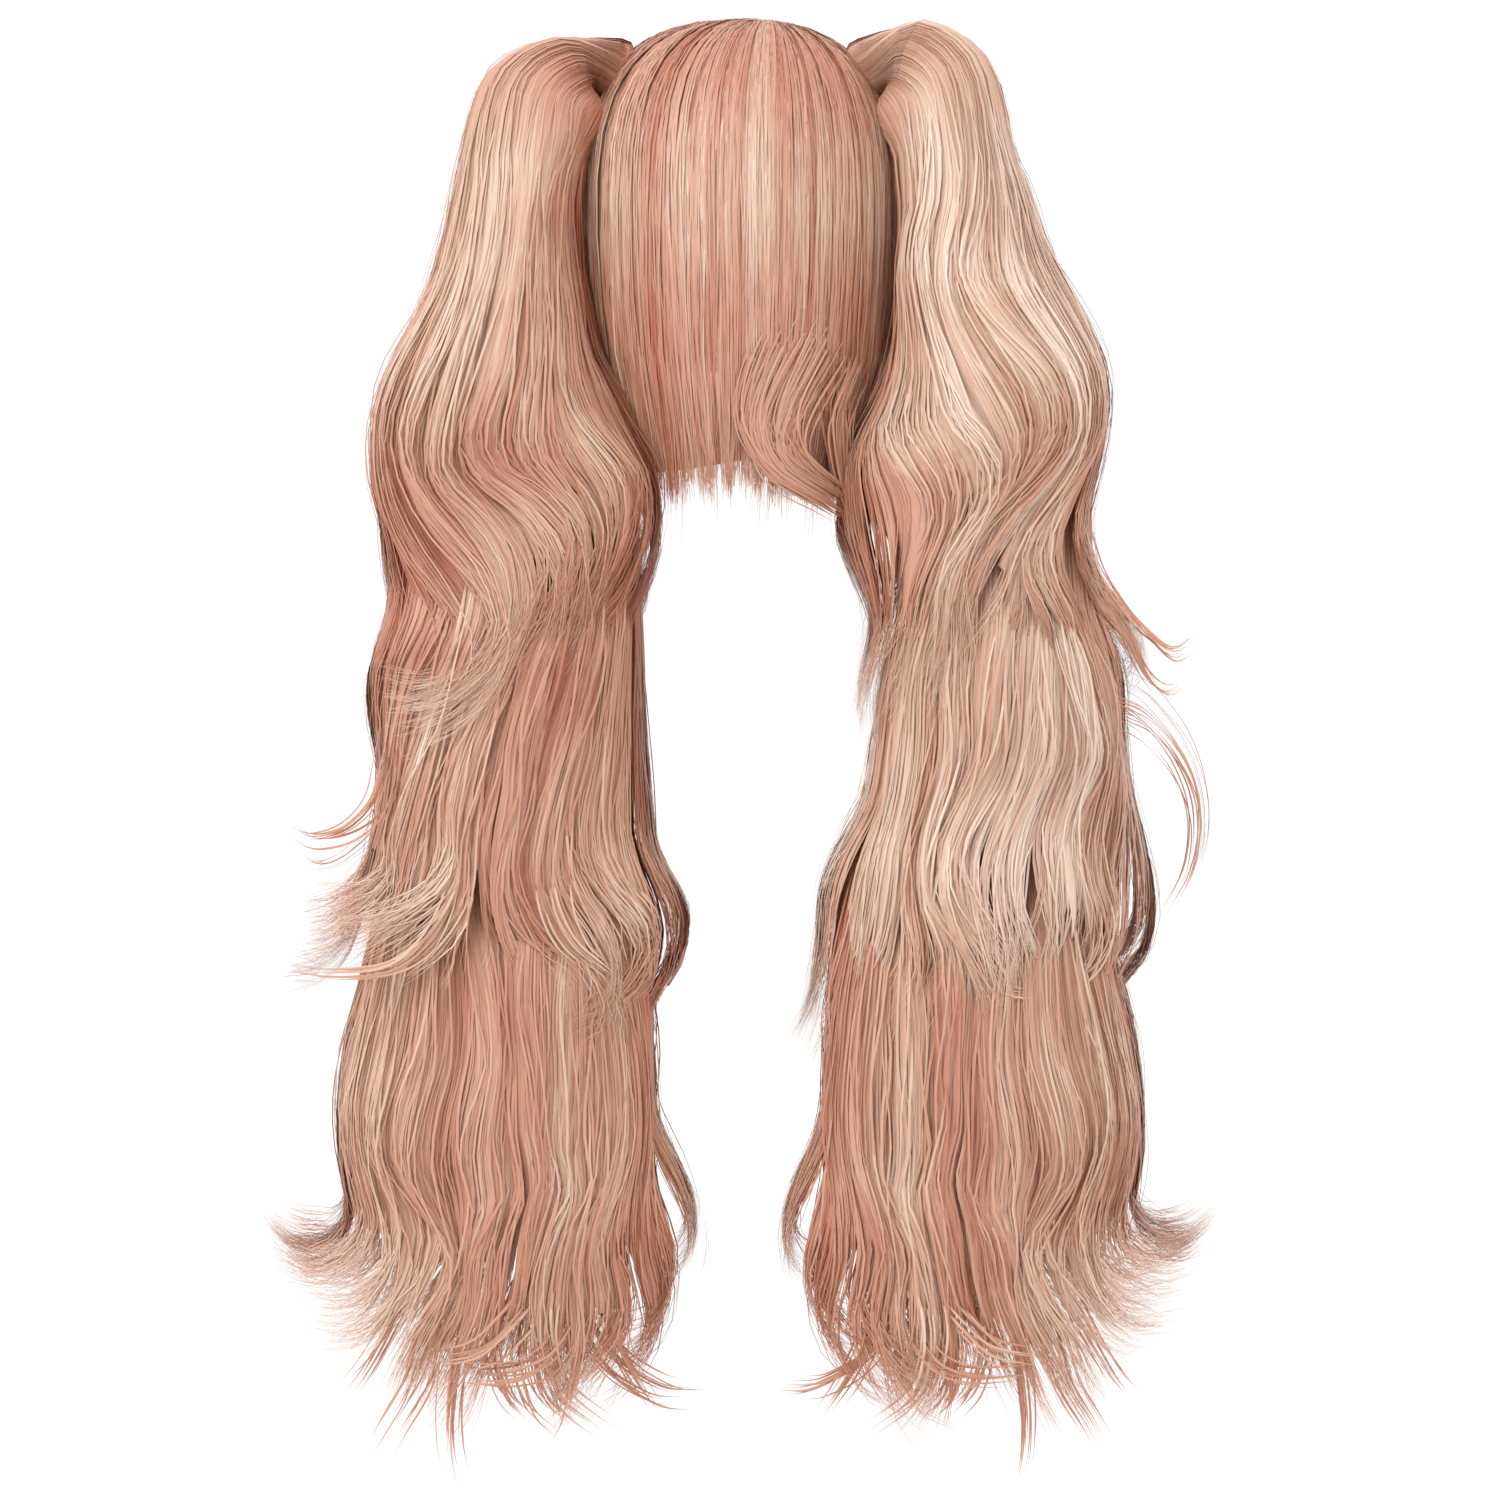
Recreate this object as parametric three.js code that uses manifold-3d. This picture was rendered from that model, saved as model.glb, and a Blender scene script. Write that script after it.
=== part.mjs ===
// A long wavy wig with two high ponytails: a fitted cap, the short hair sewn over it, a fringe
// in front, and two layered ponytails, each gathered in an elastic tie at the top of the head.
// Millimetres. The wearer faces +Y, up is +Z, and the origin is where the cap's crown sits on
// the head. The tables hold shares of the sizes that they follow.
import * as THREE from "three";
import Module from "manifold-3d";
import { mergeVertices } from "three/addons/utils/BufferGeometryUtils.js";

const wasm = await Module();
wasm.setup();

// The head that the cap fits.
const HEAD_HALF_WIDTH = 77;
const HEAD_BACK = 97;
const HEAD_FRONT = 95;
const HEAD_RISE = 100; // from the widest level up to the crown
const CROWN_ROUNDNESS = 2.7; // 2 is an ellipse, and more is squarer
const NECK_HALF_WIDTH = 46; // of the room kept free behind and beside the neck
const NECK_HALF_DEPTH = 58;
const NECK_DOWN = 345; // from the crown down to where that room ends

// The cap and the hair sewn on it.
const CAP_WALL = 2;
const GAP = 0.4; // between pieces that touch
const HAIR_THICKNESS = 12;
const GROOVE_DEPTH = 3; // between two locks of the short hair
const NAPE_LENGTH = 246; // from the crown down to the ends at the nape
const FACE_LENGTH = 222; // to the ends beside the face
const FRINGE_LENGTH = 104;
const LOCK_END_DROP = 11; // how far a lock's middle hangs below the groove beside it
const HEM_THICKNESS = 4.5; // of the hair at its cut ends
const CAP_FRONT = 52; // the cap's edge, down from the crown, at the forehead
const CAP_NAPE = 165; // and at the nape

// The elastic ties and the ponytails.
const TIE_RADIUS = 15; // from the middle of the tie to the middle of its cord
const TIE_CORD = 3; // the cord's radius
const TIE_ANGLE = 105; // degrees round the head from the front
const TIE_WAY = 0.54; // share of the way from the crown to the widest level
const TAIL_DROP = 745; // from the crown down to the blunt end of the ponytails
const TAIL_REACH = 220; // from the middle of the head out to the ponytail's fullest edge
const TAIL_HALF_DEPTH = 60; // half of its depth, front to back, where it is fullest
const TAIL_SETBACK = 55; // how far its middle hangs behind the middle of the head
const LOCK_HALF_WIDTH = 20;
const LOCK_HALF_THICKNESS = 11;

// How fine the faceted surfaces are.
const HEAD_COLUMNS = 48;
const CAP_ROWS = 5;
const HEM_ROWS = 4;
const FRINGE_COLUMNS = 12;
const RING_SPACING = 0.057; // share of the drop between two sections of a lock
const CORE_SIDES = 10;
const CORE_RINGS = 11;
const FINEST = 4; // detail below this is left out of the joined ponytails

const TAU = 2 * Math.PI;

// Below the widest level the head narrows to the neck: shares of the half width, back and front.
const NECKLINE = [
  { side: 1.0, back: 1.0, front: 1.0 },
  { side: 0.98, back: 0.97, front: 0.99 },
  { side: 0.93, back: 0.91, front: 0.97 },
  { side: 0.86, back: 0.84, front: 0.94 },
  { side: 0.8, back: 0.79, front: 0.9 },
];

// The ponytails' outlines, in even steps from TAIL_TOP down to the blunt end. Inner and outer
// are shares of the reach, middle is a share of the setback and depth a share of the half depth.
const TAIL_TOP = 0.08; // share of the drop where the outline starts
const DEPTHS = [
  { middle: 0.55, depth: 0.7 },
  { middle: 0.66, depth: 0.82 },
  { middle: 0.76, depth: 0.92 },
  { middle: 0.87, depth: 0.96 },
  { middle: 0.95, depth: 0.97 },
  { middle: 1.0, depth: 0.97 },
  { middle: 1.0, depth: 0.95 },
  { middle: 1.0, depth: 0.93 },
  { middle: 1.0, depth: 0.93 },
  { middle: 0.98, depth: 0.96 },
  { middle: 0.96, depth: 0.98 },
  { middle: 0.93, depth: 1.0 },
  { middle: 0.9, depth: 1.0 },
  { middle: 0.87, depth: 0.98 },
  { middle: 0.84, depth: 0.9 },
  { middle: 0.82, depth: 0.78 },
];
const LEFT_OUTLINE = [
  { inner: 0.37, outer: 0.67 },
  { inner: 0.4, outer: 0.74 },
  { inner: 0.4, outer: 0.79 },
  { inner: 0.33, outer: 0.87 },
  { inner: 0.22, outer: 0.9 },
  { inner: 0.2, outer: 0.89 },
  { inner: 0.23, outer: 0.94 },
  { inner: 0.24, outer: 0.9 },
  { inner: 0.22, outer: 0.93 },
  { inner: 0.15, outer: 0.97 },
  { inner: 0.17, outer: 0.95 },
  { inner: 0.18, outer: 0.97 },
  { inner: 0.13, outer: 0.98 },
  { inner: 0.05, outer: 1.0 },
  { inner: 0.12, outer: 1.02 },
  { inner: 0.2, outer: 0.94 },
];
const RIGHT_OUTLINE = [
  { inner: 0.37, outer: 0.63 },
  { inner: 0.39, outer: 0.72 },
  { inner: 0.4, outer: 0.84 },
  { inner: 0.33, outer: 0.9 },
  { inner: 0.25, outer: 0.89 },
  { inner: 0.26, outer: 0.93 },
  { inner: 0.31, outer: 0.97 },
  { inner: 0.3, outer: 0.94 },
  { inner: 0.26, outer: 0.97 },
  { inner: 0.19, outer: 1.01 },
  { inner: 0.17, outer: 0.97 },
  { inner: 0.13, outer: 0.96 },
  { inner: 0.12, outer: 0.97 },
  { inner: 0.04, outer: 0.98 },
  { inner: 0.11, outer: 1.0 },
  { inner: 0.17, outer: 0.92 },
];

// A row for each lock. From and to are where it starts and ends, shares of the drop, and a lock
// from 0 starts in the tie. Across is its place from the inner edge, 0, to the outer edge, 1.
// Near is 1 on the back of the ponytail and -1 on its front. It sways by a share of the reach,
// furthest out at the crest, with a wave's length as a share of the drop. At its tip it flicks
// outwards by a share of the reach and lifts by a share of the drop. Wide and thick are shares
// of the lock's half width and half thickness.
const COLUMNS = [
  "from", "to", "across", "near", "sway", "crest", "wave", "flick", "lift", "wide", "thick",
];
const LEFT_TOP_LOCKS = [
  [0, 0.5, 0.02, 0.9, 0.07, 0.2, 0.28, 0.08, 0.02, 0.9, 1.0],
  [0, 0.48, 0.28, 1.0, 0.08, 0.3, 0.2, 0.12, 0.02, 1.0, 1.0],
  [0, 0.53, 0.54, 1.0, 0.14, 0.3, 0.3, 0.24, 0.04, 1.1, 1.0],
  [0, 0.5, 0.78, 0.95, 0.1, 0.29, 0.3, 0.02, 0.0, 1.0, 1.0],
  [0, 0.51, 1.0, 0.35, 0.03, 0.3, 0.26, 0.02, 0.0, 1.0, 1.0],
];
const RIGHT_TOP_LOCKS = [
  [0, 0.54, 0.02, 0.85, 0.05, 0.44, 0.26, 0.02, 0.0, 0.8, 1.0],
  [0, 0.52, 0.3, 1.0, 0.12, 0.33, 0.32, 0.04, 0.0, 1.0, 1.0],
  [0, 0.5, 0.55, 1.0, 0.12, 0.3, 0.3, -0.05, 0.02, 1.1, 1.0],
  [0, 0.5, 0.8, 0.95, 0.07, 0.29, 0.28, 0.08, 0.03, 1.0, 1.0],
  [0, 0.47, 1.0, 0.35, 0.02, 0.27, 0.26, 0.06, 0.02, 1.0, 1.0],
];
const FRONT_LOCKS = [
  [0, 0.55, 0.18, -0.95, 0.05, 0.28, 0.25, 0.02, 0.0, 1.6, 1.0],
  [0, 0.54, 0.78, -0.95, 0.05, 0.28, 0.25, 0.05, 0.02, 1.6, 1.0],
  [0.45, 1.03, 0.2, -0.85, 0.05, 0.6, 0.22, 0.03, 0.0, 1.6, 1.1],
  [0.45, 1.0, 0.76, -0.85, 0.06, 0.58, 0.22, 0.14, 0.03, 1.6, 1.1],
];
const LOWER_LOCKS = [
  [0.36, 0.7, 0.02, 0.75, 0.05, 0.54, 0.24, 0.03, 0.0, 1.0, 1.1],
  [0.34, 0.68, 0.35, 1.0, 0.07, 0.58, 0.24, -0.12, 0.0, 1.1, 1.0],
  [0.36, 0.68, 0.7, 0.9, 0.06, 0.56, 0.22, 0.22, 0.02, 1.1, 1.0],
  [0.38, 0.63, 0.98, 0.5, 0.02, 0.5, 0.22, 0.2, 0.025, 1.0, 0.9],
  [0.42, 0.675, 1.0, 0.25, 0.02, 0.58, 0.22, 0.2, 0.02, 1.0, 0.9],
  [0.5, 0.92, 0.02, 0.55, 0.05, 0.8, 0.28, 0.05, 0.0, 0.8, 0.9],
  [0.5, 1.04, 0.2, 0.9, 0.06, 0.77, 0.24, -0.1, 0.0, 1.2, 1.1],
  [0.48, 1.0, 0.45, 0.97, 0.07, 0.77, 0.24, 0.02, 0.0, 1.2, 1.1],
  [0.48, 1.06, 0.68, 0.92, 0.06, 0.78, 0.24, 0.02, 0.0, 1.1, 1.0],
  [0.6, 1.03, 0.9, 0.4, 0.03, 0.79, 0.24, 0.02, 0.0, 1.2, 1.0],
  [0.52, 1.04, 0.88, 0.75, 0.05, 0.79, 0.24, 0.16, 0.05, 1.1, 1.0],
  [0.52, 1.0, 0.97, 0.5, 0.03, 0.8, 0.24, 0.26, 0.08, 1.1, 0.9],
  [0.48, 0.965, 1.0, 0.1, 0.02, 0.8, 0.24, 0.25, 0.085, 1.0, 0.9],
];
const FLICK_START = 0.74; // share of a lock's length where its flick begins
const TAPER_START = 0.74; // and where it begins to thin towards its tip
const TIP_THICKNESS = 0.15; // share that is left at the tip
const TIP_WIDTH = 0.2;
const COLLAR_HEIGHT = 9; // above the head's hair, where the locks leave the core
const KEEL = 2.6; // depth of a lock's inner side, in half thicknesses
const ARCH_DEPTH = 0.008; // share of the drop, from the top of the arch to a lock's middle

const rowsOf = (table) =>
  table.map((row) => Object.fromEntries(COLUMNS.map((name, i) => [name, row[i]])));

const LEFT_TAIL = {
  side: -1,
  outline: LEFT_OUTLINE,
  peak: 0.0,
  locks: rowsOf([...LEFT_TOP_LOCKS, ...LOWER_LOCKS, ...FRONT_LOCKS]),
};
const RIGHT_TAIL = {
  side: 1,
  outline: RIGHT_OUTLINE,
  peak: 0.007,
  locks: rowsOf([...RIGHT_TOP_LOCKS, ...LOWER_LOCKS, ...FRONT_LOCKS]),
};

// Small helpers for numbers.
const mix = (a, b, t) => a + (b - a) * t;
const limit = (x, low, high) => Math.min(high, Math.max(low, x));
const smooth = (t) => {
  const x = limit(t, 0, 1);
  return x * x * (3 - 2 * x);
};

// The value of a column at a place, 0 to 1, along a table of evenly spaced rows.
function along(rows, column, place) {
  const at = limit(place, 0, 1) * (rows.length - 1);
  const row = Math.min(Math.floor(at), rows.length - 2);
  return mix(rows[row][column], rows[row + 1][column], smooth(at - row));
}

// A closed surface from a list of triangles that share their vertices.
function closedGeometry(points, triangles) {
  const geometry = new THREE.BufferGeometry();
  geometry.setFromPoints(points);
  geometry.setIndex(triangles.flat());
  geometry.computeVertexNormals();
  return geometry;
}

// A solid with rings of points as its sections, closed by a fan at each end.
function loft(rings) {
  const sides = rings[0].length;
  const points = rings.flat();
  const triangles = [];
  for (let r = 0; r + 1 < rings.length; r += 1) {
    for (let i = 0; i < sides; i += 1) {
      const next = (i + 1) % sides;
      const a = r * sides + i;
      const b = r * sides + next;
      triangles.push([a, b, a + sides], [b, b + sides, a + sides]);
    }
  }
  const last = (rings.length - 1) * sides;
  for (let i = 1; i + 1 < sides; i += 1) {
    triangles.push([0, i + 1, i], [last, last + i, last + i + 1]);
  }
  return closedGeometry(points, triangles);
}

// three.js geometry to a manifold solid, and back.
function toSolid(geometry) {
  const bare = geometry.clone();
  bare.deleteAttribute("normal");
  bare.deleteAttribute("uv");
  const merged = mergeVertices(bare, 1e-3);
  return new wasm.Manifold(
    new wasm.Mesh({
      numProp: 3,
      vertProperties: new Float32Array(merged.attributes.position.array),
      triVerts: new Uint32Array(merged.index.array),
    }),
  );
}

function toGeometry(solid) {
  const mesh = solid.getMesh();
  const points = [];
  for (let i = 0; i < mesh.numVert; i += 1) {
    points.push(new THREE.Vector3(...mesh.vertProperties.subarray(i * mesh.numProp, i * mesh.numProp + 3)));
  }
  const geometry = new THREE.BufferGeometry().setFromPoints(points);
  geometry.setIndex([...mesh.triVerts]);
  geometry.computeVertexNormals();
  return geometry;
}

// A point on the head's form grown by some millimetres. The angle goes round from the front
// towards +X. The way is 0 at the crown, 1 at the widest level and 2 at the nape's ends.
function headPoint(angle, way, grow) {
  let spread = 1;
  let below = 0;
  let height = -HEAD_RISE;
  if (way < 1) {
    const turn = (way * TAU) / 4;
    spread = Math.sin(turn) ** (2 / CROWN_ROUNDNESS);
    height = grow - (HEAD_RISE + grow) * (1 - Math.cos(turn) ** (2 / CROWN_ROUNDNESS));
  } else {
    below = way - 1;
    height -= below * (NAPE_LENGTH - HEAD_RISE);
  }
  const side = HEAD_HALF_WIDTH * along(NECKLINE, "side", below) + grow;
  const back = HEAD_BACK * along(NECKLINE, "back", below) + grow;
  const front = HEAD_FRONT * along(NECKLINE, "front", below) + grow;
  const depth = Math.cos(angle) > 0 ? front : back;
  return new THREE.Vector3(
    spread * side * Math.sin(angle),
    spread * depth * Math.cos(angle),
    height,
  );
}

// The way that reaches a depth below the crown.
function wayTo(down) {
  if (down < HEAD_RISE) {
    return (Math.acos((1 - down / HEAD_RISE) ** (CROWN_ROUNDNESS / 2)) * 4) / TAU;
  }
  return 1 + (down - HEAD_RISE) / (NAPE_LENGTH - HEAD_RISE);
}

// The cap's edge runs from the forehead, over the ears, to the nape.
const capEdge = (angle) => wayTo(mix(CAP_FRONT, CAP_NAPE, (1 - Math.cos(angle)) / 2));

// The ways of a column's rows: first down to the cap's edge, and then on to the hem.
function columnWays(angle, hemDown) {
  const edge = capEdge(angle);
  const ways = [];
  for (let row = 1; row <= CAP_ROWS; row += 1) ways.push((edge * row) / CAP_ROWS);
  if (hemDown) {
    const hem = wayTo(hemDown);
    for (let row = 1; row <= HEM_ROWS; row += 1) ways.push(mix(edge, hem, row / HEM_ROWS));
  }
  return ways;
}

// A wall round the head, between two angles or all the way round, from the crown to its hem.
// The inner surface is the head's form grown by inside, and thickness(column, share) is added.
function headWall({ start, end, columns, inside, thickness, hemDown }) {
  const wholeRing = Math.abs(end - start) > 359;
  const count = wholeRing ? columns : columns + 1;
  const points = [headPoint(0, 0, inside), headPoint(0, 0, inside + thickness(0, 0))];
  const index = [];
  for (let c = 0; c < count; c += 1) {
    const angle = THREE.MathUtils.degToRad(mix(start, end, c / columns));
    const ways = columnWays(angle, hemDown && hemDown(c));
    index.push(
      ways.map((way, row) => {
        points.push(headPoint(angle, way, inside));
        points.push(headPoint(angle, way, inside + thickness(c, (row + 1) / ways.length)));
        return points.length - 2;
      }),
    );
  }
  const rows = index[0].length;
  const triangles = [];
  // Outer faces are given anticlockwise from outside, and the inner ones turned round.
  const face = (a, b, c, d) => {
    triangles.push([a + 1, b + 1, c + 1], [a + 1, c + 1, d + 1]);
    triangles.push([a, c, b], [a, d, c]);
  };
  const wall = (a, b) => triangles.push([a, b, b + 1], [a, b + 1, a + 1]);
  for (let c = 0; c < (wholeRing ? count : count - 1); c += 1) {
    const here = index[c];
    const next = index[(c + 1) % count];
    triangles.push([1, next[0] + 1, here[0] + 1], [0, here[0], next[0]]);
    for (let row = 0; row + 1 < rows; row += 1) {
      face(here[row], next[row], next[row + 1], here[row + 1]);
    }
    wall(next[rows - 1], here[rows - 1]);
  }
  if (!wholeRing) {
    for (const [column, flip] of [[index[0], false], [index[count - 1], true]]) {
      const line = [0, ...column];
      for (let row = 0; row + 1 < line.length; row += 1) {
        if (flip) wall(line[row], line[row + 1]);
        else wall(line[row + 1], line[row]);
      }
    }
  }
  return closedGeometry(points, triangles);
}

// The short hair: every second column is a groove between two locks, and the ends are thinned
// and cut to a point below each lock.
const isGroove = (column) => column % 2 === 1;
function hairThickness(column, share) {
  const groove = isGroove(column) ? GROOVE_DEPTH * smooth(share * 3) : 0;
  return mix(HAIR_THICKNESS - groove, HEM_THICKNESS, smooth((share - 0.72) / 0.28));
}
const ragged = (column) =>
  (isGroove(column) ? -LOCK_END_DROP : 0) + 0.35 * LOCK_END_DROP * Math.sin(column * 2.3);

const FRINGE_SPAN = (360 / HEAD_COLUMNS) * FRINGE_COLUMNS; // degrees of the head that it covers
const CROWN_COLUMNS = HEAD_COLUMNS - FRINGE_COLUMNS;
const HAIR_INSIDE = CAP_WALL + GAP;
const HAIR_OUTSIDE = HAIR_INSIDE + HAIR_THICKNESS;

const capGeometry = headWall({
  start: 0,
  end: 360,
  columns: HEAD_COLUMNS,
  inside: 0,
  thickness: () => CAP_WALL,
});

function crownHemDown(column) {
  const towardsBack = Math.sin((column / CROWN_COLUMNS) * (TAU / 2)); // 0 beside the face, 1 at the nape
  return mix(FACE_LENGTH, NAPE_LENGTH, towardsBack) + ragged(column);
}

const crownGeometry = headWall({
  start: FRINGE_SPAN / 2,
  end: 360 - FRINGE_SPAN / 2,
  columns: CROWN_COLUMNS,
  inside: HAIR_INSIDE,
  thickness: hairThickness,
  hemDown: crownHemDown,
});

const fringeGeometry = headWall({
  start: -FRINGE_SPAN / 2,
  end: FRINGE_SPAN / 2,
  columns: FRINGE_COLUMNS,
  inside: HAIR_INSIDE,
  thickness: hairThickness,
  hemDown: (column) => FRINGE_LENGTH + ragged(column),
});

// The room that the head, its short hair and the neck take, which the ponytails are cut back
// from. It shares the columns and rows of the hair, so that the gap is the same all over.
function headRoom() {
  const grow = HAIR_OUTSIDE + GAP;
  const columns = [];
  for (let c = 0; c < HEAD_COLUMNS; c += 1) {
    const angle = (c / HEAD_COLUMNS) * TAU;
    const ways = [0.01, ...columnWays(angle, NAPE_LENGTH + 2 * GAP)];
    const column = ways.map((way) => headPoint(angle, way, grow));
    const [across, deep] = [Math.sin(angle) * NECK_HALF_WIDTH, Math.cos(angle) * NECK_HALF_DEPTH];
    column.push(new THREE.Vector3(across, deep, -NECK_DOWN));
    columns.push(column);
  }
  const rings = columns[0].map((_, row) => columns.map((column) => column[row]));
  return toSolid(loft(rings));
}

// Where a tie sits: on the hair, facing straight out from it.
function tieSeat(side) {
  const angle = THREE.MathUtils.degToRad(TIE_ANGLE) * side;
  const step = 0.02;
  const seat = headPoint(angle, TIE_WAY, HAIR_OUTSIDE);
  const down = headPoint(angle, TIE_WAY + step, HAIR_OUTSIDE).sub(seat);
  const round = headPoint(angle + step, TIE_WAY, HAIR_OUTSIDE).sub(seat);
  const axis = down.cross(round).normalize();
  if (axis.z < 0) axis.negate();
  const acrossRing = new THREE.Vector3(-side * axis.z, 0, side * axis.x).normalize();
  return { seat, axis, acrossRing, alongRing: axis.clone().cross(acrossRing) };
}

// A place on a ponytail: its inner and outer edge, middle and half depth at a share of the drop.
function tailSection(tail, down) {
  const place = (down - TAIL_TOP) / (1 - TAIL_TOP);
  return {
    inner: along(tail.outline, "inner", place) * TAIL_REACH,
    outer: along(tail.outline, "outer", place) * TAIL_REACH,
    middle: -along(DEPTHS, "middle", place) * TAIL_SETBACK,
    half: along(DEPTHS, "depth", place) * TAIL_HALF_DEPTH,
  };
}

// The point of a lock at a share of its length, once it hangs clear of the tie.
function lockPoint(tail, lock, share) {
  const start = Math.max(lock.from, TAIL_TOP);
  const down = mix(start, lock.to, share);
  const section = tailSection(tail, down);
  const width = section.outer - section.inner;
  const swaying = lock.sway * TAIL_REACH * smooth((down - TAIL_TOP) / 0.12);
  const flick = Math.max(0, (share - FLICK_START) / (1 - FLICK_START));
  const inset = LOCK_HALF_THICKNESS * lock.thick;
  const out =
    mix(section.inner + inset, section.outer - inset, lock.across) +
    swaying * Math.cos((TAU * (down - lock.crest)) / lock.wave);
  const across = limit(((out - section.inner) / width) * 2 - 1, -0.97, 0.97);
  const emerge = lock.from > 0 ? mix(0.5, 1, smooth(share * 3)) : 1;
  const deep = (section.half - inset) * Math.sqrt(1 - across * across) * lock.near * emerge;
  return new THREE.Vector3(
    tail.side * (out + flick ** 1.6 * lock.flick * TAIL_REACH),
    section.middle - deep,
    (flick ** 2.4 * lock.lift - down) * TAIL_DROP,
  );
}

// The way that a lock takes from the tie, round the arch at the ponytail's top and down. Locks
// from the ring's upper side become the outer ones.
function rootPoints(tail, lock) {
  const { seat, axis, acrossRing, alongRing } = tieSeat(tail.side);
  const within = (TIE_RADIUS - TIE_CORD) * 0.6;
  const place = new THREE.Vector3()
    .addScaledVector(acrossRing, (lock.across * 2 - 1) * within)
    .addScaledVector(alongRing, tail.side * lock.near * within);
  const first = lockPoint(tail, lock, 0);
  const collar = seat.clone().addScaledVector(axis, COLLAR_HEIGHT).add(place);
  const crest = collar.clone().lerp(first, mix(0.3, 0.46, lock.across));
  const high = (tail.peak - ARCH_DEPTH) * TAIL_DROP;
  crest.z = mix(mix(collar.z, first.z, 0.3), high, smooth(lock.across * 1.3));
  const shoulder = new THREE.Vector3(
    mix(crest.x, first.x, 0.74),
    mix(crest.y, first.y, 0.6),
    mix(crest.z, first.z, 0.32),
  );
  return [collar, crest, shoulder];
}

// A lock's middle line, and how full it is along the way.
function lockCurve(tail, lock) {
  const stations = 9;
  const points = lock.from > 0 ? [] : rootPoints(tail, lock);
  for (let i = 0; i <= stations; i += 1) points.push(lockPoint(tail, lock, i / stations));
  return new THREE.CatmullRomCurve3(points, false, "catmullrom", 0.5);
}
function fullness(lock, share, atTip) {
  const root = lock.from > 0 ? 0.6 : 0.4;
  const tip = Math.max(0, (share - TAPER_START) / (1 - TAPER_START));
  return mix(root, 1, smooth(share * 3.2)) * mix(1, atTip, tip ** 1.4);
}

// A lock as a strip with a ridge along its middle, thin edges and a keel that reaches into the
// core. The ridge faces out of the ponytail, and turns with the curve.
function lockGeometry(tail, lock) {
  const curve = lockCurve(tail, lock);
  const count = Math.ceil((lock.to - lock.from) / RING_SPACING) + (lock.from > 0 ? 0 : 2);
  const middles = curve.getPoints(count);
  const tangents = middles.map((_, i) => curve.getTangent(i / count));

  // The ridge's direction is found where the lock hangs free, and kept from there both ways.
  const ridges = [];
  const across = (direction, i) =>
    direction.clone().addScaledVector(tangents[i], -direction.dot(tangents[i])).normalize();
  const free = Math.round(count * 0.4);
  const section = tailSection(tail, -middles[free].z / TAIL_DROP);
  const centre = (tail.side * (section.inner + section.outer)) / 2;
  const away = new THREE.Vector3(middles[free].x - centre, middles[free].y - section.middle, 0);
  for (let i = free; i >= 0; i -= 1) ridges[i] = across(i === free ? away : ridges[i + 1], i);
  for (let i = free + 1; i <= count; i += 1) ridges[i] = across(ridges[i - 1], i);

  const rings = middles.map((middle, i) => {
    const share = i / count;
    const deep = fullness(lock, share, TIP_THICKNESS) * lock.thick * LOCK_HALF_THICKNESS;
    const broad = fullness(lock, share, TIP_WIDTH) * lock.wide * LOCK_HALF_WIDTH;
    const hanging = lock.from > 0 ? 1 : smooth((share - 0.2) * 4);
    const keel = mix(0.5, mix(KEEL, 0.6, smooth((share - TAPER_START) * 5)), hanging);
    const sideways = tangents[i].clone().cross(ridges[i]);
    const at = (out, side) =>
      middle
        .clone()
        .addScaledVector(ridges[i], out * deep)
        .addScaledVector(sideways, side * broad);
    return [at(1, 0), at(0.1, 1), at(-keel, 0), at(0.1, -1)];
  });
  return loft(rings);
}

// The hair in the middle of a ponytail, which the locks lie on: a stub in the tie, an arch
// outwards over the tie's edge, and then level sections down to its end.
const CORE_SHARE = 0.8; // of the ponytail's width and depth
const CORE_END = 0.97; // share of the drop
const ARCH = { out: 0.43, setback: 0.45, rise: -0.028, half: 0.07, deep: 0.45 };
function coreGeometry(tail) {
  const { seat, axis, acrossRing, alongRing } = tieSeat(tail.side);
  const ringAt = (centre, outer, halfOuter, back, halfBack) => {
    const ring = [];
    for (let i = 0; i < CORE_SIDES; i += 1) {
      const turn = (i / CORE_SIDES) * TAU;
      ring.push(
        centre
          .clone()
          .addScaledVector(outer, Math.cos(turn) * halfOuter)
          .addScaledVector(back, Math.sin(turn) * halfBack),
      );
    }
    return ring;
  };
  const stub = TIE_RADIUS - TIE_CORD - GAP;
  const rings = [GAP + 1, TIE_CORD * 2 + 2].map((height) =>
    ringAt(seat.clone().addScaledVector(axis, height), acrossRing, stub, alongRing, stub),
  );
  rings.push(
    ringAt(
      new THREE.Vector3(
        tail.side * ARCH.out * TAIL_REACH,
        -ARCH.setback * TAIL_SETBACK,
        (ARCH.rise + tail.peak) * TAIL_DROP,
      ),
      new THREE.Vector3(tail.side * 0.35, 0, 1).normalize(),
      ARCH.half * TAIL_REACH,
      alongRing,
      ARCH.deep * TAIL_HALF_DEPTH,
    ),
  );
  const outwards = new THREE.Vector3(tail.side, 0, 0);
  const backwards = new THREE.Vector3(0, -tail.side, 0);
  for (let r = 0; r <= CORE_RINGS; r += 1) {
    const down = mix(TAIL_TOP, CORE_END, r / CORE_RINGS);
    const section = tailSection(tail, down);
    const narrow = CORE_SHARE * mix(0.75, 1, smooth(r / 2)) * mix(1, 0.5, smooth((r - 8.5) / 2.5));
    const middle = new THREE.Vector3(
      tail.side * ((section.outer + section.inner) / 2),
      section.middle,
      -down * TAIL_DROP,
    );
    const half = ((section.outer - section.inner) / 2) * narrow;
    rings.push(ringAt(middle, outwards, half, backwards, section.half * narrow));
  }
  return loft(rings);
}

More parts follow.
